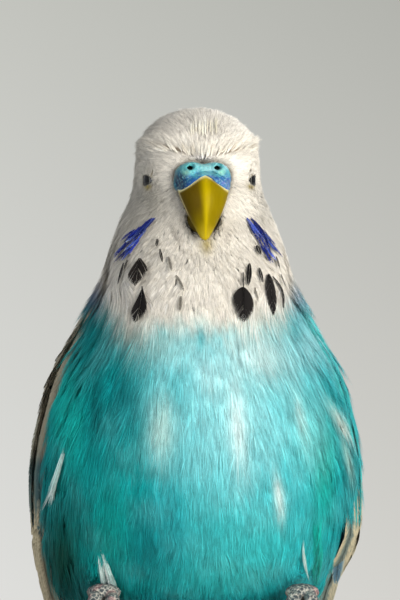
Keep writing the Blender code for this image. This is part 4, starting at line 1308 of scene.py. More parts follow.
# Share of the tail's length, place across, depth and half width of each pair
TAIL_PAIRS = [
    (1.0, 1.5, 0.0, 2.6),
    (0.79, 2.4, 0.55, 2.9),
    (0.69, 3.2, 1.1, 2.9),
    (0.59, 4.0, 1.65, 2.9),
    (0.49, 4.7, 2.2, 2.8),
    (0.40, 5.3, 2.75, 2.7),
]


def tail_lines(starts, ends, bow=0.5):
    """Lines between (along, across, up) points of the tail's frame, bowed a little upwards."""
    q = np.linspace(0.0, 1.0, QUILL_STEPS + 1)[None, :, None]
    local = starts[:, None] + (ends - starts)[:, None] * q
    local = local + np.array([0.0, 0.0, bow]) * np.sin(math.pi * q)
    points = TAIL_ROOT + TAIL_AXIS * local[..., :1] + TAIL_UP * local[..., 2:]
    points = points + np.array([1.0, 0.0, 0.0]) * local[..., 1:2]
    return points, np.broadcast_to(TAIL_UP, points.shape)


def banded(inner, outer, pale):
    """A tail vane with a pale patch across its inner half."""
    under = edged(inner, outer, 0.8)

    def pattern(a, x, edge):
        patch = np.exp(-(((a - 0.62) / 0.2) ** 2)) * smooth_step((0.85 - edge) / 0.3)
        return blended(under(a, x, edge), pale, 0.8 * patch)

    return pattern


def lofted(name, rings):
    """A closed body through rings of points, its ends drawn to a middle point."""
    rings = np.asarray(rings)
    count, around, _ = rings.shape
    points = np.concatenate([rings.reshape(-1, 3), rings[:1].mean(axis=1), rings[-1:].mean(axis=1)])
    first, last = count * around, count * around + 1
    faces = []
    for j in range(around):
        k = (j + 1) % around
        for i in range(count - 1):
            faces.append((i * around + j, i * around + k, (i + 1) * around + k, (i + 1) * around + j))
        faces.append((first, k, j))
        faces.append((last, (count - 1) * around + j, (count - 1) * around + k))
    return plain_object(name, points, faces)


STUMP_SECTIONS, STUMP_AROUND = 14, 40
share = np.linspace(0.0, 1.0, STUMP_SECTIONS)[:, None]
turn = np.linspace(0.0, 2 * math.pi, STUMP_AROUND, endpoint=False)[None]
wide = 4.9 * (1.0 - 0.25 * share**2) * np.sin(turn)
deep = (3.3 * (1.0 - share) + 0.9 * share) * np.cos(turn)
rings = TAIL_ROOT + TAIL_AXIS * (-1.5 + 27.0 * share)[..., None]
rings = rings + np.array([1.0, 0.0, 0.0]) * wide[..., None] + TAIL_UP * deep[..., None]
stump = lofted("tail_stump", rings)
paint_points(stump, linear("#12686c"))
hand_over(stump, skin_finish, "tail_plumage", "tail")

# Coverts over and under the roots: how many, their spacing, the middle one's reach and how much each
# next one falls short, half width, colours of middle and border, and 1 for over or -1 for under
TAIL_COVERTS = [
    (9, 1.2, 31.0, 1.6, 2.3, ("#127c82", "#3fa0a3"), 1),
    (8, 1.4, 34.0, 2.0, 2.4, ("#27b0b6", "#8fd3d6"), -1),
]
draw = np.random.default_rng(220)
total = 2 * len(TAIL_PAIRS) + sum(row[0] for row in TAIL_COVERTS)
bundles, first = [], 0
for number, (share, across, depth, half) in enumerate(TAIL_PAIRS):
    drifting = 0.42 if number == 0 else 0.85
    sides = np.array([1.0, -1.0])
    up = 1.0 - depth + np.array([0.18, 0.0])
    starts = np.stack([np.full(2, 7.0), sides * across * 0.9, up], axis=1)
    ends = np.stack([np.full(2, TAIL_LENGTH * share), sides * across * drifting, up - 0.3], axis=1)
    lines, ups = tail_lines(starts, ends, 0.3)
    look = edged("#14305c", "#2b5f93", 0.75) if number == 0 else banded("#1f5a74", "#24343c", "#c9d6c6")
    bundles += vaned(
        lines, ups, np.full(2, half), (0.9, 0.9), quill_shape(0.6), int(120 * share) + 20, look,
        draw, (first, total), 0.0,
    )
    first += 2
for count, gap, reach, step, half, codes, over in TAIL_COVERTS:
    i = np.arange(count) - (count - 1) / 2
    across = i * gap
    if over > 0:
        root_up, tip_up = 2.9 - 0.05 * across**2, 1.75 - 0.05 * np.abs(across)
    else:
        root_up, tip_up = -2.8 + 0.1 * np.abs(across), -2.5 + 0 * across
    starts = np.stack([-3.0 + 0 * across, across * 0.85, root_up], axis=1)
    ends = np.stack([reach - step * np.abs(i), across, tip_up], axis=1)
    lines, ups = tail_lines(starts, ends, 0.4 * over)
    bundles += vaned(
        lines, ups * over, np.full(count, half), (1.0, 1.0), quill_shape(0.55), 44, edged(*codes, 0.6),
        draw, (first, total), 0.0,
    )
    first += count
tail = feather_object("tail_feathers", bundles)
hand_over(tail, quill_finish, "tail_plumage", "tail")


# Flank feathers: long contour feathers rooted in the sides of the body that hang over the wings' front
# edges. On the bird's left they cover the front of the wing right out to its side. More of them come
# from the neck's sides and the mantle, over the top edges of both wings.


def hung_lines(roots, tips, side, lie_on_wing):
    """Lines of feathers that leave the body's skin and come to lie on the wing, on the bird's left for
    side 1. lie_on_wing says how far places (t, s) of its bed are on it, and how high over it."""
    paths, ups = wing_lines(roots, tips, np.zeros((len(roots), 2)))
    paths, ups = paths[:, ::3], ups[:, ::3]
    near, near_ups = on_skin(paths.reshape(-1, 3))
    near, near_ups = near.reshape(paths.shape), near_ups.reshape(paths.shape)
    near = near + near_ups * 0.15
    q = np.linspace(0.0, 1.0, paths.shape[1])
    t = roots[:, :1] + (tips - roots)[:, :1] * q
    s = roots[:, 1:] + (tips - roots)[:, 1:] * q
    over, rise = (values[..., None] for values in lie_on_wing(t, s))
    paths = near + (paths + ups * rise - near) * over
    ups = unit(near_ups + (ups - near_ups) * over)
    way = np.array([side, 1.0, 1.0])
    return paths * way, ups * way


def lie_on_flank(t, s):
    rise = 0.15 + smooth_step((s + 0.1) / 0.25) * smooth_step(t / 0.22)
    return smooth_step((s + 0.50) / 0.55), rise


def lie_on_shoulder(t, _):
    return smooth_step((t + 0.03) / 0.06), 0.1 + 1.4 * smooth_step(t / 0.18)


FLANK_LENGTH, SHOULDER_LENGTH = 8.2, 7.4
FLANK_START = -0.62  # the wing's s where the foremost roots are
# Feathers of each side, how far back their roots reach, and how far down
FLANKS = [("left", 1, 700, 0.20, 0.40), ("right", -1, 460, -0.06, 0.58)]
for number, (word, side, count, s_high, t_high) in enumerate(FLANKS):
    draw = np.random.default_rng(240 + number)
    count = int(count * THIN_OUT)
    t = (np.arange(count) + draw.random(count)) / count * t_high + 0.02
    shoulder = 0.45 * (1.0 - smooth_step(t / 0.14))
    s = FLANK_START + (s_high + shoulder - FLANK_START) * draw.random(count) ** 1.1
    lengths = FLANK_LENGTH * draw.uniform(0.85, 1.15, count)
    roots = np.stack([t, s], axis=1)
    fall = np.stack([lengths / (WING_TOP - WING_TIP), draw.normal(0.015, 0.015, count)], axis=1)
    paths, ups = hung_lines(roots, roots + fall, side, lie_on_flank)
    bundle = fan_of_barbs(
        paths, ups, lengths, 46, 0.09, draw, lambda p: plumage(p, True), 0.18, 0.9, 0.16
    )
    hand_over(feather_object("coat_flank_" + word, [bundle]), coat_finish, "blue_plumage")

SHOULDER_FEATHERS = 420
for number, (word, side) in enumerate((("left", 1), ("right", -1))):
    draw = np.random.default_rng(250 + number)
    count = int(SHOULDER_FEATHERS * THIN_OUT)
    roots = np.stack([draw.uniform(-0.06, 0.035, count), draw.uniform(-0.15, 1.0, count)], axis=1)
    lengths = SHOULDER_LENGTH * draw.uniform(0.85, 1.15, count)
    fall = np.stack([lengths / (WING_TOP - WING_TIP), draw.normal(0.0, 0.012, count)], axis=1)
    paths, ups = hung_lines(roots, roots + fall, side, lie_on_shoulder)
    bundle = fan_of_barbs(paths, ups, lengths, 40, 0.09, draw, plumage, 0.2, 0.45, 0.1)
    hand_over(feather_object("coat_shoulder_" + word, [bundle]), coat_finish, "white_plumage")


# Single feathers that show on the front: black throat spots, violet-blue cheek patches, tufts and
# bristles of the forehead, and white, dark and sea-blue ones on the flanks. Each lies over the coat,
# where someone in front sees it.


def laid_lines(marks, lift, facing=0.0):
    """Lines over the coat for (start x, start z, end x, end z, bow) marks seen from the front. facing
    is how far their feathers turn to the front from the way that the coat faces."""
    q = np.linspace(0.0, 1.0, QUILL_STEPS + 1)
    eye = Vector((VIEW_MIDDLE[0], -VIEW_DISTANCE, VIEW_MIDDLE[1]))
    ends = np.array(marks, float)[:, None]
    way = ends[..., 2:4] - ends[..., 0:2]
    across = np.stack([-way[..., 1], way[..., 0]], axis=-1)
    across = across / np.linalg.norm(way, axis=-1, keepdims=True)
    bow = (ends[..., 4] * np.sin(math.pi * q))[..., None]
    wanted = ends[..., 0:2] + way * q[:, None] + across * bow
    aimed = wanted.copy()
    for _ in range(3):
        lines, ups = np.zeros((*wanted.shape[:2], 3)), np.zeros((*wanted.shape[:2], 3))
        for i, j in np.ndindex(wanted.shape[:2]):
            ray = (Vector((aimed[i, j, 0], 0.0, aimed[i, j, 1])) - eye).normalized()
            hits = [tree.ray_cast(eye, ray) for tree in (skin_tree, wing_tree)]
            hits = [hit for hit in hits if hit[0] is not None]
            if hits:
                lines[i, j], ups[i, j], _, _ = min(hits, key=lambda hit: hit[3])
            else:
                lines[i, j], ups[i, j] = lines[i, j - 1], ups[i, j - 1]
        for _ in range(3):
            lines[:, 1:-1] = (lines[:, :-2] + 2 * lines[:, 1:-1] + lines[:, 2:]) / 4
            ups[:, 1:-1] = unit(ups[:, :-2] + 2 * ups[:, 1:-1] + ups[:, 2:])
        ups = unit(ups + facing * np.array([0.0, -1.0, 0.0]))
        lifted = lines + ups * (np.reshape(lift, (-1, 1)) * np.linspace(0.7, 1.0, len(q)))[..., None]
        # The lift carries a line aside where the coat faces sideways, so it is aimed again
        seen = np.stack(seen_from_front(lifted), axis=-1)
        aimed = aimed + np.clip(wanted - seen, -1.0, 1.0)
    return lifted, ups


def oval(sharp, middle=1.0):
    """The shape of a vane that swells and closes again. middle under 1 moves its widest place up."""
    return lambda e: np.sin(math.pi * np.clip(e, 0.0, 1.0) ** middle) ** sharp


def plain(code, edge_code, start=0.7):
    """A vane of one colour that runs softly into another at its border."""
    return edged(code, edge_code, start, 0.3)


# Start x and z, end x and z, bow, half width
SPOTS = [
    (-9.6, 57.3, -10.3, 52.6, 0.0, 2.0),
    (-9.1, 52.6, -10.35, 46.5, 0.25, 1.5),
    (7.8, 52.4, 7.75, 46.6, 0.0, 2.0),
    (7.7, 54.9, 7.75, 52.0, 0.0, 0.13),
    (12.0, 54.6, 12.7, 47.8, 0.1, 1.2),
    (12.6, 54.2, 14.4, 49.0, 0.75, 0.34),
    (8.8, 56.4, 8.55, 52.7, 0.0, 0.5),
    (10.4, 55.7, 11.0, 53.2, 0.0, 0.38),
    (13.2, 57.6, 13.8, 55.6, 0.0, 0.34),
    (10.0, 59.4, 10.6, 57.8, 0.0, 0.5),
    (-6.6, 60.5, -6.75, 59.2, 0.0, 0.28),
    (-6.2, 58.8, -5.75, 56.6, 0.0, 0.24),
    (-12.25, 56.5, -13.2, 52.9, 0.0, 0.36),
    (-11.6, 57.0, -12.2, 55.2, 0.0, 0.28),
    (14.0, 54.6, 14.7, 52.6, 0.0, 0.2),
]
GREYS = [
    (-4.8, 57.5, -4.2, 55.2, 0.0, 0.36),
    (-3.5, 54.4, -2.2, 51.8, 0.1, 0.3),
    (-2.7, 50.9, -2.9, 48.4, 0.0, 0.4),
    (9.6, 52.4, 10.2, 50.4, 0.0, 0.2),
]
# The same for feathers of the flanks, and how high each lies over the coat
TUFTS = [
    (-22.1, 25.8, -24.4, 15.4, 0.45, 0.4, 2.2),
    (-22.2, 24.8, -24.5, 14.8, 0.45, 0.36, 2.2),
    (-16.2, 8.8, -13.4, 0.6, 0.3, 0.5, 0.9),
    (-15.4, 7.6, -14.2, 0.2, 0.2, 0.6, 0.9),
    (-16.6, 8.6, -15.0, 1.4, 0.1, 0.5, 0.9),
    (-14.8, 5.4, -12.8, 0.0, 0.1, 0.5, 0.9),
    (-16.6, 5.4, -15.6, 0.0, 0.0, 0.5, 0.9),
    (17.7, 10.6, 18.2, 4.0, -0.5, 0.22, 0.8),
]
DARKS = [
    (-23.4, 36.8, -24.6, 33.0, 0.0, 0.5, 1.2),
]
LOBES = [
    (19.3 + 0.35 * (k % 3), 22.0 - 1.9 * k, 19.9 + 0.3 * (k % 2), 12.6 - 1.7 * k, 0.25, 0.95)
    for k in range(7)
]
# Of each cheek patch: its upper end, its lower end and how many feathers
CHEEKS = [((-6.9, 64.2), (-14.0, 57.2), 28), ((8.5, 64.2), (13.9, 56.9), 26)]

draw = np.random.default_rng(260)
cheek_feathers = []
for top, bottom, count in CHEEKS:
    along = np.subtract(bottom, top)
    reach = np.hypot(*along)
    along = along / reach
    across = np.array([-along[1], along[0]])
    for k in range(count):
        share = (k + draw.random()) / count
        width = 0.3 + 1.0 * share
        root = top + along * share * (reach - 3.0) + across * draw.uniform(-width, width)
        turn = math.radians(draw.normal(0.0, 6.0))
        way = along * math.cos(turn) + across * math.sin(turn)
        tip = root + way * draw.uniform(2.8, 3.8)
        cheek_feathers.append((*root, *tip, draw.normal(0.0, 0.08), draw.uniform(0.14, 0.24)))
# Paler barbs lie over each third feather
cheek_streaks = [(*mark[:5], 0.12) for mark in cheek_feathers[1::3]]

BLACK = plain("#1b1817", "#2b2724")
# Each group: its marks, the shape and colours of its vanes, their height over the coat, how many barbs
# each side has, how uneven they are, and the slot
LAID = [
    ("throat_spots", SPOTS[2:], oval(0.62, 0.92), BLACK, 1.25, 56, 0.08, "white"),
    ("throat_spot_kite", SPOTS[:1], oval(1.0, 1.15), plain("#231e1b", "#35302b"), 1.85, 130, 0.08, "white"),
    ("throat_spot_low", SPOTS[1:2], oval(0.75, 1.7), BLACK, 1.75, 130, 0.08, "white"),
    ("throat_greys", GREYS, oval(0.8), plain("#8a857b", "#c3bdb0", 0.3), 0.95, 22, 0.08, "white"),
    ("cheek_patches", cheek_feathers, oval(0.6, 1.3), plain("#1b2c92", "#2f46b4"), 1.1, 14, 0.5, "blue"),
    ("cheek_streaks", cheek_streaks, oval(0.6, 1.3), plain("#3f5ccc", "#a9b6e4"), 1.2, 14, 0.5, "blue"),
    ("dark_feathers", DARKS, oval(0.7), plain("#24302f", "#3d4a48"), None, 34, 0.08, "wing"),
    ("flank_lobe", LOBES, oval(0.55, 1.2), plain("#06aca0", "#10b8b0"), 1.1, 60, 0.08, "blue"),
]
for number, (name, marks, shape, pattern, lift, barbs, uneven, slot) in enumerate(LAID):
    draw = np.random.default_rng(270 + number)
    # Marks with heights of their own are at the side, and their feathers turn to the front
    at_side = lift is None
    if at_side:
        lift = np.array([mark[6] for mark in marks])
    lines, ups = laid_lines([mark[:5] for mark in marks], lift, 1.0 if at_side else 0.0)
    halves = np.array([mark[5] for mark in marks])
    bundles = vaned(
        lines, ups, halves, (1.0, 1.0), shape, barbs, pattern, draw, (0, len(marks)), 0.0, uneven
    )
    hand_over(feather_object(name, bundles), coat_finish, slot + "_plumage")


def laid_fans(name, lines, ups, lengths, barbs, width, colours, spread, draw):
    """White feathers as loose as the coat along laid lines, each with its own shade or one for all."""
    colours = np.atleast_2d(colours)[:, None, None]
    bundle = fan_of_barbs(
        lines[:, ::2], ups[:, ::2], lengths, barbs, width, draw,
        lambda p: np.broadcast_to(colours, p.shape), spread,
    )
    hand_over(feather_object(name, [bundle]), coat_finish, "white_plumage")


# White tufts, three strands to a mark
draw = np.random.default_rng(290)
marks = np.repeat(np.array(TUFTS), 3, axis=0)
marks[:, :4] += draw.normal(scale=0.3, size=(len(marks), 4)) * marks[:, 5:6]
lines, ups = laid_lines(marks[:, :5].tolist(), marks[:, 6], 0.7)
lengths = np.linalg.norm(lines[:, -1] - lines[:, 0], axis=1)
colours = blended("#eaf0ec", "#8fc9c6", 0.7 * draw.random(len(marks)))
laid_fans("white_tufts", lines, ups, lengths, 26, 0.09, colours, marks[:, 5] / lengths, draw)

# Cream bristles down the middle of the forehead
BRISTLES = 12
draw = np.random.default_rng(293)
x = np.linspace(-0.9, 3.3, BRISTLES) + draw.normal(scale=0.08, size=BRISTLES)
z = 77.4 + draw.uniform(0.0, 0.9, BRISTLES)
reach = draw.uniform(2.2, 3.4, BRISTLES)
marks = np.stack([x, z, x + 0.03 * (x - FACE_X), z + reach, 0.0 * x], axis=1)
lines, ups = laid_lines(marks.tolist(), 0.75)
laid_fans("forehead_bristles", lines, ups, reach, 14, 0.06, linear("#fbf4df"), 0.05, draw)

# Tufts that stand up out of the crease over the cere, swept outwards, brown in its shade
BROW_TUFTS = 44
draw = np.random.default_rng(295)
x = np.linspace(-6.8, 9.2, BROW_TUFTS) + draw.normal(scale=0.3, size=BROW_TUFTS)
lean = np.clip((x - FACE_X) * 8.5, -62.0, 62.0) + draw.normal(scale=6.0, size=BROW_TUFTS)
lean = np.radians(lean)
reach = draw.uniform(1.7, 3.0, BROW_TUFTS)
z = np.interp(np.abs(x - FACE_X), [0.0, 3.5, 8.0, 12.0], [73.7, 74.8, 75.0, 74.4])
z = z + draw.uniform(-0.25, 0.5, BROW_TUFTS)
bow = draw.normal(scale=0.15, size=BROW_TUFTS)
marks = np.stack([x, z, x + reach * np.sin(lean), z + reach * np.cos(lean), bow], axis=1)
lines, ups = laid_lines(marks.tolist(), 0.38)
colours = blended("#efe9dc", "#a08e74", np.maximum(draw.normal(0.1, 0.25, BROW_TUFTS), 0.0))
laid_fans("brow_tufts", lines, ups, reach, 12, 0.06, colours, 0.1, draw)


# The face's bare parts: a waxy cere with two swollen lobes and a nostril in each, a hooked bill of
# horn, and the eyes in their lid rings. Each is its own piece, set into the feathers.


def head_straight(points):
    """Points carried back to where they are with the face straight ahead."""
    turn = np.array(Matrix.Rotation(HEAD_TURN, 3, "Z"))
    return (np.asarray(points, float) - HEAD_PIVOT) @ turn + HEAD_PIVOT


def curve(ends_and_middle, t):
    a, b, c = (np.array(point) for point in ends_and_middle)
    t = t[:, None]
    return a * (1 - t) ** 2 + b * 2 * t * (1 - t) + c * t * t


BILL_SECTIONS, BILL_AROUND = 72, 64
BILL_ASIDE = 0.22  # it sits a little towards the bird's right


def bill_shell(name, ridge, rear, half_widths, keel):
    t = np.linspace(0.0, 1.0, BILL_SECTIONS)
    front, back = curve(ridge, t), curve(rear, t)
    middle, half = (front + back) / 2, (front - back) / 2
    width = smooth_curve(np.linspace(0.0, 1.0, len(half_widths)), half_widths)(t)
    # The last few rings close in on a rounded tip
    close = np.sqrt(np.maximum(1.0 - np.clip((t - 0.965) / 0.035, 0.0, 1.0) ** 2, 0.02))
    turn = np.linspace(0.0, 2 * math.pi, BILL_AROUND, endpoint=False)
    across = np.sign(np.sin(turn)) * np.abs(np.sin(turn)) ** keel
    yz = middle[:, None] + (half * close[:, None])[:, None] * np.cos(turn)[None, :, None]
    x = (width * close)[:, None] * across[None] - BILL_ASIDE
    rings = head_turned(np.concatenate([x[..., None], yz], axis=-1))
    piece = lofted(name, rings)
    places = np.stack(np.broadcast_arrays(t[:, None], turn[None]), axis=-1).reshape(-1, 2)
    places = np.concatenate([places, [[0.0, 0.0], [1.0, 0.0]]])
    return piece, places[:, 0], places[:, 1]


def painted(piece, colours, finish, slot, *nodes):
    paint_points(piece, np.clip(colours, 0.0, 0.95))
    hand_over(piece, finish, slot, *nodes)


# Horn: olive yellow and slightly waxy, with fine growth lines along it and dull scuffs
horn_finish = dyed(
    "olive yellow horn", 0.32, 3.0, (0.84, 1.14), (0.36, 0.58), (0.25, 0.05), (1.0, 0.35, 0.16),
    Specular_IOR_Level=0.05, Subsurface_Weight=0.05, Subsurface_Scale=0.4 * MM,
)

UPPER_RIDGE = ((-17.6, 71.8), (-26.4, 69.6), (-20.9, 59.9))
UPPER_REAR = ((-13.0, 68.4), (-16.6, 64.0), (-19.7, 60.4))
UPPER_HALF_WIDTHS = [3.9, 4.2, 4.15, 3.85, 3.4, 2.85, 2.15, 1.4, 0.55]
LOWER_RIDGE = ((-12.5, 67.4), (-19.2, 66.0), (-18.7, 61.6))
LOWER_REAR = ((-12.5, 62.8), (-15.5, 60.6), (-17.9, 61.2))
LOWER_HALF_WIDTHS = [3.2, 3.1, 2.7, 2.2, 1.5, 0.8]

upper, t, turn = bill_shell("bill_upper_horn", UPPER_RIDGE, UPPER_REAR, UPPER_HALF_WIDTHS, 1.15)
side = np.sin(turn)
front = np.cos(turn)
# Painted shade, partly brown pigment: the bill darkens on the side turned from the light
brown_and_shaded_side = 0.85 * smooth_step((-side - 0.12) / 0.3) * smooth_step((0.92 - t) / 0.3)
border = np.exp(-((front / 0.06) ** 2)) * smooth_step(t / 0.12) * smooth_step((0.72 - t) / 0.15)
# A thin pale line where it leaves the cere
x, y, z = head_straight(points_of(upper)).T
CERE_EDGE_X = [-4.6, -3.26, -1.05, -0.09, 0.86, 3.07, 4.4]
CERE_EDGE_Z = [68.0, 68.85, 70.4, 70.75, 70.3, 68.65, 68.0]
below = np.interp(x, CERE_EDGE_X, CERE_EDGE_Z) - z
line = np.exp(-(((below - 0.05) / 0.2) ** 2)) * (front > -0.1)
colours = layered(
    "#806e00",
    ("#78690c", 0.8 * smooth_step((0.35 - t) / 0.35)),
    ("#bda72a", 0.7 * smooth_step((t - 0.8) / 0.2)),
    ("#4c3a05", brown_and_shaded_side),
    # Painted highlight: a brighter yellow band down the ridge, right of the middle
    ("#b29c00", 0.8 * np.exp(-(((side - 0.04) / 0.22) ** 2)) * (front > 0)),
    ("#d6cb96", 0.85 * border),
    ("#e0d79a", 0.9 * line),
)
painted(upper, colours, horn_finish, "bill", "bill_upper")

lower, t, turn = bill_shell("bill_lower_horn", LOWER_RIDGE, LOWER_REAR, LOWER_HALF_WIDTHS, 1.0)
# Painted shade: the lower bill is dark olive, darkest at its root, for the shade under the upper bill
colours = blended("#4c3f12", "#2c230b", smooth_step((0.6 - t) / 0.5))
painted(lower, colours, horn_finish, "bill", "bill_lower")

# Cere: smooth waxy skin in aqua that turns deep blue low down, mottled, with fine creases
cere_finish = dyed(
    "waxy blue cere", 0.3, 4.0, (0.84, 1.14), relief=(0.4, 0.06), swirl=0.8,
    Roughness=0.42, Specular_IOR_Level=0.4, Subsurface_Weight=0.12, Subsurface_Scale=0.5 * MM,
)


def softened(values, axis=0):
    """Values that run round in a ring, each drawn towards its two neighbours."""
    return (np.roll(values, 1, axis) + 2 * values + np.roll(values, -1, axis)) / 4


# The cere's border with the face straight ahead, x and z, round from its right lower corner
CERE_BORDER = [
    (-5.04, 69.71), (-4.76, 71.64), (-4.08, 72.46), (-2.98, 73.01), (-1.87, 73.07), (-1.05, 72.88),
    (-0.14, 72.68), (0.86, 72.96), (1.69, 73.07), (2.79, 72.79), (3.62, 72.33), (4.16, 71.36),
    (4.44, 70.27), (4.33, 69.05), (4.23, 68.55), (3.9, 68.21), (3.07, 68.62), (1.69, 69.45),
    (0.86, 70.27), (-0.09, 70.81), (-1.05, 70.4), (-2.15, 69.58), (-3.26, 68.75), (-4.22, 68.18),
    (-4.76, 68.34), (-5.09, 69.05),
]
CERE_MIDDLE = np.array([-0.1, 71.6])
CERE_AROUND, CERE_STEPS = 300, 90
NOSTRIL_X, NOSTRIL_Z, NOSTRIL_ASIDE = 2.25, 72.05, 0.3
border = np.array(CERE_BORDER + CERE_BORDER[:1])
run = np.concatenate([[0.0], np.cumsum(np.linalg.norm(np.diff(border, axis=0), axis=1))])
spots = np.linspace(0.0, run[-1], CERE_AROUND, endpoint=False)
border = np.stack([np.interp(spots, run, border[:, 0]), np.interp(spots, run, border[:, 1])], axis=1)
for _ in range(14):
    border = softened(border)
share = np.linspace(0.02, 1.0, CERE_STEPS) ** 0.85
xz = CERE_MIDDLE + (border - CERE_MIDDLE)[None] * share[:, None, None]
x, z = xz[..., 0], xz[..., 1]
face_trees = [
    BVHTree.FromPolygons(head_straight(points_of(piece)).tolist(), triangles_of(piece).tolist())
    for piece in (upper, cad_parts["cere"])
]
y = np.full(x.shape, -15.0)
for i in range(CERE_STEPS):
    for j in range(CERE_AROUND):
        start = Vector((x[i, j], -60.0, z[i, j]))
        hits = [tree.ray_cast(start, Vector((0.0, 1.0, 0.0)))[0] for tree in face_trees]
        y[i, j] = min([hit.y for hit in hits if hit is not None], default=y[i - 1, j] if i else -15.0)
rounded = share[:, None]
lobe = np.exp(-(((np.abs(x + NOSTRIL_ASIDE) - 2.6) / 1.5) ** 2) - ((z - 70.8) / 1.6) ** 2)
y = y - 0.34 * (1.0 - rounded**8) - 0.45 * lobe * (1.0 - rounded**6)
y = y + 0.3 * np.exp(-((x / 0.5) ** 2)) * smooth_step((z - 71.2) / 1.0)
for _ in range(10):
    y = softened(y, 1)
    y[1:-1] = (y[:-2] + 2 * y[1:-1] + y[2:]) / 4
y[-1] += 0.25


def nostril_reach(x, z):
    """How far places are from the middle of the nearer nostril, as a share of its size."""
    return np.hypot((np.abs(x + NOSTRIL_ASIDE) - NOSTRIL_X) / 0.5, (z - NOSTRIL_Z) / 0.34)


pit = nostril_reach(x, z)
y = y + smooth_step((1.2 - pit) / 0.45) - 0.13 * np.exp(-(((pit - 1.65) / 0.4) ** 2))
front = np.stack([x, y, z], axis=-1)
y = y - (0.06 * drift(front, 0.9, 31) + 0.035 * drift(front, 0.4, 32)) * (1.0 - rounded**4)
front = np.stack([x, y, z], axis=-1)
back = front[-1:] + np.array([0.0, 0.9, 0.0])
inward = (CERE_MIDDLE - border) @ np.array([[1, 0, 0], [0, 0, 1]]) * 0.4
inner = np.array([0.0, 1.2, 0.0]) + front[-1:] + inward[None]
rings = np.concatenate([front, back, inner])
cere = lofted("cere_wax", head_turned(rings))
places = head_straight(points_of(cere))
x, y, z = places.T
lilac = 0.7 * smooth_step((x - 1.4) / 2.0) * smooth_step((71.6 - z) / 2.0)
shadow = 0.95 * smooth_step((-x - 2.4) / 1.6) * smooth_step((72.4 - z) / 2.0)
# Painted highlight: pale aqua over the bridge between the nostrils
bridge_highlight = 0.6 * np.exp(-(((x - 0.5) / 1.7) ** 2) - ((z - 71.9) / 0.7) ** 2)
beside = 0.5 * np.exp(-(((np.abs(x + NOSTRIL_ASIDE) - 2.9) / 0.7) ** 2) - ((z - 71.3) / 0.5) ** 2)
rim = np.concatenate([np.repeat(share, CERE_AROUND), np.ones(2 * CERE_AROUND), [0.0, 1.0]])
low = smooth_step((71.3 - z) / 0.3) * smooth_step((4.3 - np.abs(x + 0.35)) / 0.3)
colours = layered(
    "#58b3b8",
    ("#1c5798", smooth_step((71.9 - z + 0.5 * drift(places, 1.6, 33)) / 1.9)),
    ("#4a68b4", lilac),
    ("#0a1f42", shadow),
    ("#1d7f98", 0.35 * smooth_step(drift(places, 0.8, 34) * 2.0)),
    ("#9ad3cf", 0.3 * smooth_step(drift(places, 0.6, 35) * 2.0 - 0.6)),
    ("#a9d6da", bridge_highlight),
    ("#8fc39a", beside),
    ("#e8dfba", 0.95 * smooth_step((rim - 0.93) / 0.05) * low),
    ("#3f6f77", 0.6 * smooth_step((rim - 0.9) / 0.1) * (1.0 - low)),
    # Painted shade: near black in the nostril pits
    ("#050708", smooth_step((1.12 - nostril_reach(x, z)) / 0.25)),
)
painted(cere, colours, cere_finish, "cere", "cere")

# Cornea over a dark eye: black pupil in a narrow pale iris, under a hard wet shine
eye_finish = dyed(
    "wet dark eye", 0.15, 2.0, (0.8, 1.2),
    Roughness=0.12, Specular_IOR_Level=0.4, Coat_Weight=0.5, Coat_Roughness=0.02,
)

# Lid skin: thin, bare and dull, pale grey with a dark rim at the eye
lid_finish = dyed("bare lid skin", 0.22, 3.0, (0.75, 1.2), relief=(0.5, 0.06), Roughness=0.6)

EYE_RADIUS = 2.9
LID_HALF_LONG, LID_HALF_HIGH = 1.65, 0.74  # of the opening
LID_REACH = SOCKET_REACH + 0.4
LID_AROUND = 96
LID_FEATHERS = 1000
BALL_CLEAR = 0.03
BALL_SECTIONS = 72
RIM_TURNS = np.linspace(0.0, 2 * math.pi, 48, endpoint=False)
# Sections of a lid from the opening out, under its edge and back: share of the way to its outer edge,
# rise, and how pale it is
LID_SECTIONS = [
    (0.0, -0.07, 0.0), (0.0, 0.0, 0.0), (0.03, 0.04, 0.2), (0.09, 0.05, 0.7), (0.16, 0.02, 1.0),
    (0.3, 0.0, 1.0), (0.5, 0.0, 1.0), (0.75, 0.0, 1.0), (1.0, 0.0, 1.0), (1.0, -0.5, 1.0), (0.4, -0.3, 1.0),
]


def opening_at(turn):
    """How far the opening's edge is from its middle."""
    return 1.0 / np.sqrt((np.cos(turn) / LID_HALF_LONG) ** 2 + (np.sin(turn) / LID_HALF_HIGH) ** 2)


def lid_height(u, v, rim):
    """How far the lid stands over the eye's middle, from the opening's edge to the head's skin."""
    turn, reach = np.arctan2(v, u), np.hypot(u, v)
    inner = opening_at(turn)
    at_ball = np.sqrt((EYE_RADIUS + BALL_CLEAR) ** 2 - inner**2) + 0.09
    at_skin = np.interp(turn, RIM_TURNS, rim, period=2 * math.pi) - 0.12
    share = smooth_step((reach - inner) / (LID_REACH - inner))
    return at_ball + (at_skin - at_ball) * share - 0.45 * np.maximum(reach - LID_REACH, 0.0)


def lid_place(u, v, eye, axes, rim):
    """Places and normals of the lid, u along the head and v up from the eye's middle."""
    facing, aside, up = axes
    step = 0.05
    slope_u = (lid_height(u + step, v, rim) - lid_height(u - step, v, rim)) / (2 * step)
    slope_v = (lid_height(u, v + step, rim) - lid_height(u, v - step, rim)) / (2 * step)
    normal = unit(facing - aside * slope_u[..., None] - up * slope_v[..., None])
    place = eye + aside * u[..., None] + up * v[..., None]
    return place + facing * lid_height(u, v, rim)[..., None], normal


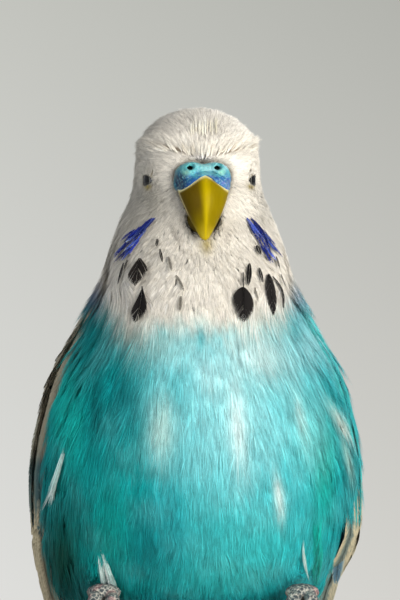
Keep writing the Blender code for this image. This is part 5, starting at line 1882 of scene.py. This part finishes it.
for word, eye, facing in zip(("left", "right"), eyes, eye_facing):
    axes = facing, aside, up = eye_axes(facing)
    angle = np.radians(np.linspace(1.0, 178.0, BALL_SECTIONS))[:, None]
    around = np.linspace(0.0, 2 * math.pi, BALL_SECTIONS, endpoint=False)[None]
    reach = EYE_RADIUS + 0.18 * np.exp(-((angle / math.radians(26.0)) ** 2))
    ring = (
        np.cos(angle)[..., None] * facing
        + (np.sin(angle) * np.cos(around))[..., None] * aside
        + (np.sin(angle) * np.sin(around))[..., None] * up
    )
    ball = lofted("eye_" + word + "_ball", eye + ring * reach[..., None])
    out = np.concatenate([np.repeat(np.degrees(angle), BALL_SECTIONS), [0.0, 180.0]])
    iris, sclera = smooth_step((out - 21.0) / 1.5), smooth_step((out - 24.0) / 1.5)
    colours = layered("#040404", ("#6f6f68", iris), ("#120e0b", sclera))
    painted(ball, colours, eye_finish, "eye", "eye_" + word)

    rim = socket_rim(eye, facing, RIM_TURNS)
    for _ in range(4):
        rim = softened(rim)
    turn = np.linspace(0.0, 2 * math.pi, LID_AROUND, endpoint=False)
    inner = opening_at(turn)
    rings = []
    for share, rise, _ in LID_SECTIONS:
        reach = inner + (LID_REACH - inner) * share
        fold = 0.02 * np.sin(17 * turn + 20 * share) * (0.02 < share < 0.4 and rise >= 0.0)
        places, _ = lid_place(reach * np.cos(turn), reach * np.sin(turn), eye, axes, rim)
        rings.append(places + facing * (rise + fold)[:, None])
    faces = []
    for i in range(len(rings)):
        for j in range(LID_AROUND):
            k, m = (j + 1) % LID_AROUND, (i + 1) % len(rings)
            faces.append(
                (i * LID_AROUND + j, i * LID_AROUND + k, m * LID_AROUND + k, m * LID_AROUND + j)
            )
    lid = plain_object("eye_" + word + "_lid", np.concatenate(rings), faces)
    pale = np.repeat([section[2] for section in LID_SECTIONS], LID_AROUND)
    painted(lid, blended("#1d1813", "#a39b8a", pale), lid_finish, "eye")

    # Fine short feathers that part round the opening and run on into the coat
    draw = np.random.default_rng(320 + (word == "right"))
    count = int(LID_FEATHERS * THIN_OUT)
    turn = draw.uniform(0.0, 2 * math.pi, count)
    inner = opening_at(turn) + 0.12
    reach = np.sqrt(draw.uniform((inner / LID_REACH) ** 2, 1.0)) * LID_REACH
    u, v = reach * np.cos(turn), reach * np.sin(turn)
    way = np.stack([np.cos(turn), np.sin(turn)], axis=1) * (1.6 - reach / LID_REACH)[:, None]
    to_back = 0.9 * np.sign(aside[1])
    way = unit(way + np.array([to_back, -0.25]))
    lengths = draw.uniform(0.8, 1.3, count) * (0.75 + 0.35 * reach / LID_REACH)
    q = np.linspace(0.0, 1.0, PATH_STEPS + 1)
    run = (lengths[:, None] * q)[..., None] * way[:, None]
    paths, ups = lid_place(u[:, None] + run[..., 0], v[:, None] + run[..., 1], eye, axes, rim)
    bundle = fan_of_barbs(paths, ups, lengths, 9, 0.07, draw, lambda p: plumage(p, True), 0.3, 0.3, 0.09)
    hand_over(feather_object("coat_lids_" + word, [bundle]), coat_finish, "white_plumage")


# The feet: two toes before the perch and two behind it, in small rough scales with pale edges, each
# with a horn claw. They stay the solids' own form, pushed out into scales.

# Toe skin: dull grey scales, dusty and pale where they meet
toe_finish = dyed("scaly toe skin", 0.25, 3.0, (0.7, 1.3), relief=(0.4, 0.05), Roughness=0.7)

# Claw horn: dark grey, smooth and a little glossy, streaked with paler grey
claw_finish, tree, shader = new_material("grey claw horn", Roughness=0.35)
coords = add_node(tree, "TexCoord").outputs["Object"]
streaks = add_node(tree, "TexNoise", {"Vector": coords, "Scale": 1.0 / (0.4 * MM), "Detail": 3.0})
tones = [(0.3, "#2b2a2b"), (0.7, "#5a5652")]
tones = add_node(tree, "ValToRGB", {"Fac": streaks.outputs["Fac"]}, tones)
feed(shader, Base_Color=tones.outputs["Color"])

TOE_VOXEL = 0.19
SCALE_SIZE = 0.85
SCALE_RISE = 0.13
for number, word in enumerate(("left", "right")):
    draw = np.random.default_rng(300 + number)
    foot = merged_copy("foot_" + word)
    foot.name = "foot_" + word + "_scales"
    apply_modifier(foot, "REMESH", mode="VOXEL", voxel_size=TOE_VOXEL * MM)
    apply_modifier(foot, "SMOOTH", factor=0.5, iterations=4)
    points, normals = points_of(foot), normals_of(foot)
    # One scale grows round a point of each cell
    seeds = {}
    for i in draw.permutation(len(points)):
        seeds.setdefault(tuple(np.floor(points[i] / SCALE_SIZE).astype(int)), i)
    finder = KDTree(len(seeds))
    for i, point in enumerate(points[list(seeds.values())].tolist()):
        finder.insert(point, i)
    finder.balance()
    gap, near, tone = np.empty(len(points)), np.empty(len(points)), np.empty(len(points))
    tones = draw.uniform(-1.0, 1.0, len(seeds))
    for i, point in enumerate(points.tolist()):
        (_, first, near[i]), (_, _, far) = finder.find_n(point, 2)
        gap[i] = far - near[i]
        tone[i] = tones[first]
    rise = smooth_step(gap / 0.22)
    set_points(foot, points + normals * (SCALE_RISE * (rise - 0.5) + 0.03 * tone * rise)[:, None])
    make_active(foot)
    bpy.ops.object.shade_smooth()
    colours = layered(
        "#b4b1a6",
        ("#3b4448", smooth_step(rise * 1.6 - 0.2)),
        ("#7d8280", np.maximum(tone, 0.0) * rise * 0.6),
        ("#c58a86", 0.6 * np.maximum(drift(points, 2.5, 41) - 0.5, 0.0)),
    )
    painted(foot, colours, toe_finish, "toe_skin", "foot_" + word)
    nodes = [f"claw_{word}_{toe}" for toe in range(1, 5)]
    claws = [merged_copy(node) for node in nodes]
    for claw in claws:
        apply_modifier(claw, "SUBSURF", levels=2)
    claws = joined("claws_" + word, claws)
    make_active(claws)
    bpy.ops.object.shade_smooth()
    hand_over(claws, claw_finish, "claw", *nodes)


# Camera, floor and light: a long lens level with the bib, soft light from the bird's left and front,
# and a plain pale studio. The floor and the studio aren't part of the object.

LENS_SENSOR = 24.0
FRAME_HEIGHT = 100.0  # of the photograph, at the perch
camera_data = bpy.data.cameras.new("camera")
camera_data.sensor_fit = "VERTICAL"
camera_data.sensor_height = LENS_SENSOR
camera_data.lens = LENS_SENSOR * VIEW_DISTANCE / FRAME_HEIGHT
camera_data.clip_start = 0.01
camera = bpy.data.objects.new("camera", camera_data)
bpy.context.scene.collection.objects.link(camera)
camera.location = to_world([VIEW_MIDDLE[0], -VIEW_DISTANCE, VIEW_MIDDLE[1]])
camera.rotation_euler = (math.pi / 2, 0.0, 0.0)
bpy.context.scene.camera = camera
bpy.context.scene.view_settings.view_transform = "Standard"

FLOOR_RADIUS = 1.2
bpy.ops.object.select_all(action="DESELECT")
bpy.ops.mesh.primitive_circle_add(vertices=96, radius=FLOOR_RADIUS, fill_type="NGON")
floor = bpy.context.active_object
floor.name = "studio_floor"
# Matt paper board: pale warm grey with the faintest mottling
floor_finish, tree, shader = new_material("pale paper floor", Roughness=0.9)
coords = add_node(tree, "TexCoord").outputs["Object"]
fibres = add_node(tree, "TexNoise", {"Vector": coords, "Scale": 90.0, "Detail": 3.0})
tones = [(0.3, "#cdcdc8"), (0.7, "#d3d3ce")]
tones = add_node(tree, "ValToRGB", {"Fac": fibres.outputs["Fac"]}, tones)
feed(shader, Base_Color=tones.outputs["Color"])
floor.data.materials.append(floor_finish)


def soft_light(name, place, target, size, power, code):
    """A square softbox at a place that faces a target, both in the bird's frame."""
    data = bpy.data.lights.new(name, "AREA")
    data.size = size
    data.energy = power
    data.color = linear(code)
    light = bpy.data.objects.new(name, data)
    bpy.context.scene.collection.objects.link(light)
    place, target = Vector(to_world(place)), Vector(to_world(target))
    light.location = place
    light.rotation_euler = (target - place).to_track_quat("-Z", "Y").to_euler()


soft_light("key", (430.0, -690.0, 170.0), (0.0, 0.0, 35.0), 0.45, 8.8, "#fffbf5")
soft_light("fill", (-600.0, -600.0, 60.0), (0.0, 0.0, 40.0), 0.7, 3.3, "#f2f7ff")
soft_light("rim", (300.0, 500.0, 500.0), (0.0, 0.0, 40.0), 0.5, 4.0, "#ffffff")

world = bpy.data.worlds.new("studio")
bpy.context.scene.world = world
world.use_nodes = True
tree = world.node_tree
seen = tree.nodes["Background"]
output = tree.nodes["World Output"]
direction = add_node(tree, "TexCoord").outputs["Generated"]
parts = add_node(tree, "SeparateXYZ", {"Vector": direction})
# Z and X of the directions in which the picture's edges are seen from the camera
ways = []
for axis, edge in (("Z", 0.0312), ("X", 0.0208)):
    spread = {"Value": parts.outputs[axis], "From Min": -edge, "From Max": edge}
    ways.append(add_node(tree, "MapRange", spread).outputs["Result"])
# The paper behind grows darker upwards, and towards the bird's left
sides = []
for low, high in (("#dededb", "#c3c4be"), ("#d3d2cd", "#b3b4ae")):
    shades = {0: ways[0], 6: paint(low), 7: paint(high)}
    sides.append(add_node(tree, "Mix", shades, data_type="RGBA").outputs[2])
shades = {0: ways[1], 6: sides[0], 7: sides[1]}
backdrop = add_node(tree, "Mix", shades, data_type="RGBA")
tree.links.new(backdrop.outputs[2], seen.inputs["Color"])
lit = add_node(tree, "Background", {"Color": paint("#d7dade"), "Strength": 0.32})
camera_sees = add_node(tree, "LightPath").outputs["Is Camera Ray"]
mixed = add_node(tree, "MixShader", {0: camera_sees, 1: lit.outputs[0], 2: seen.outputs[0]})
tree.links.new(mixed.outputs[0], output.inputs["Surface"])
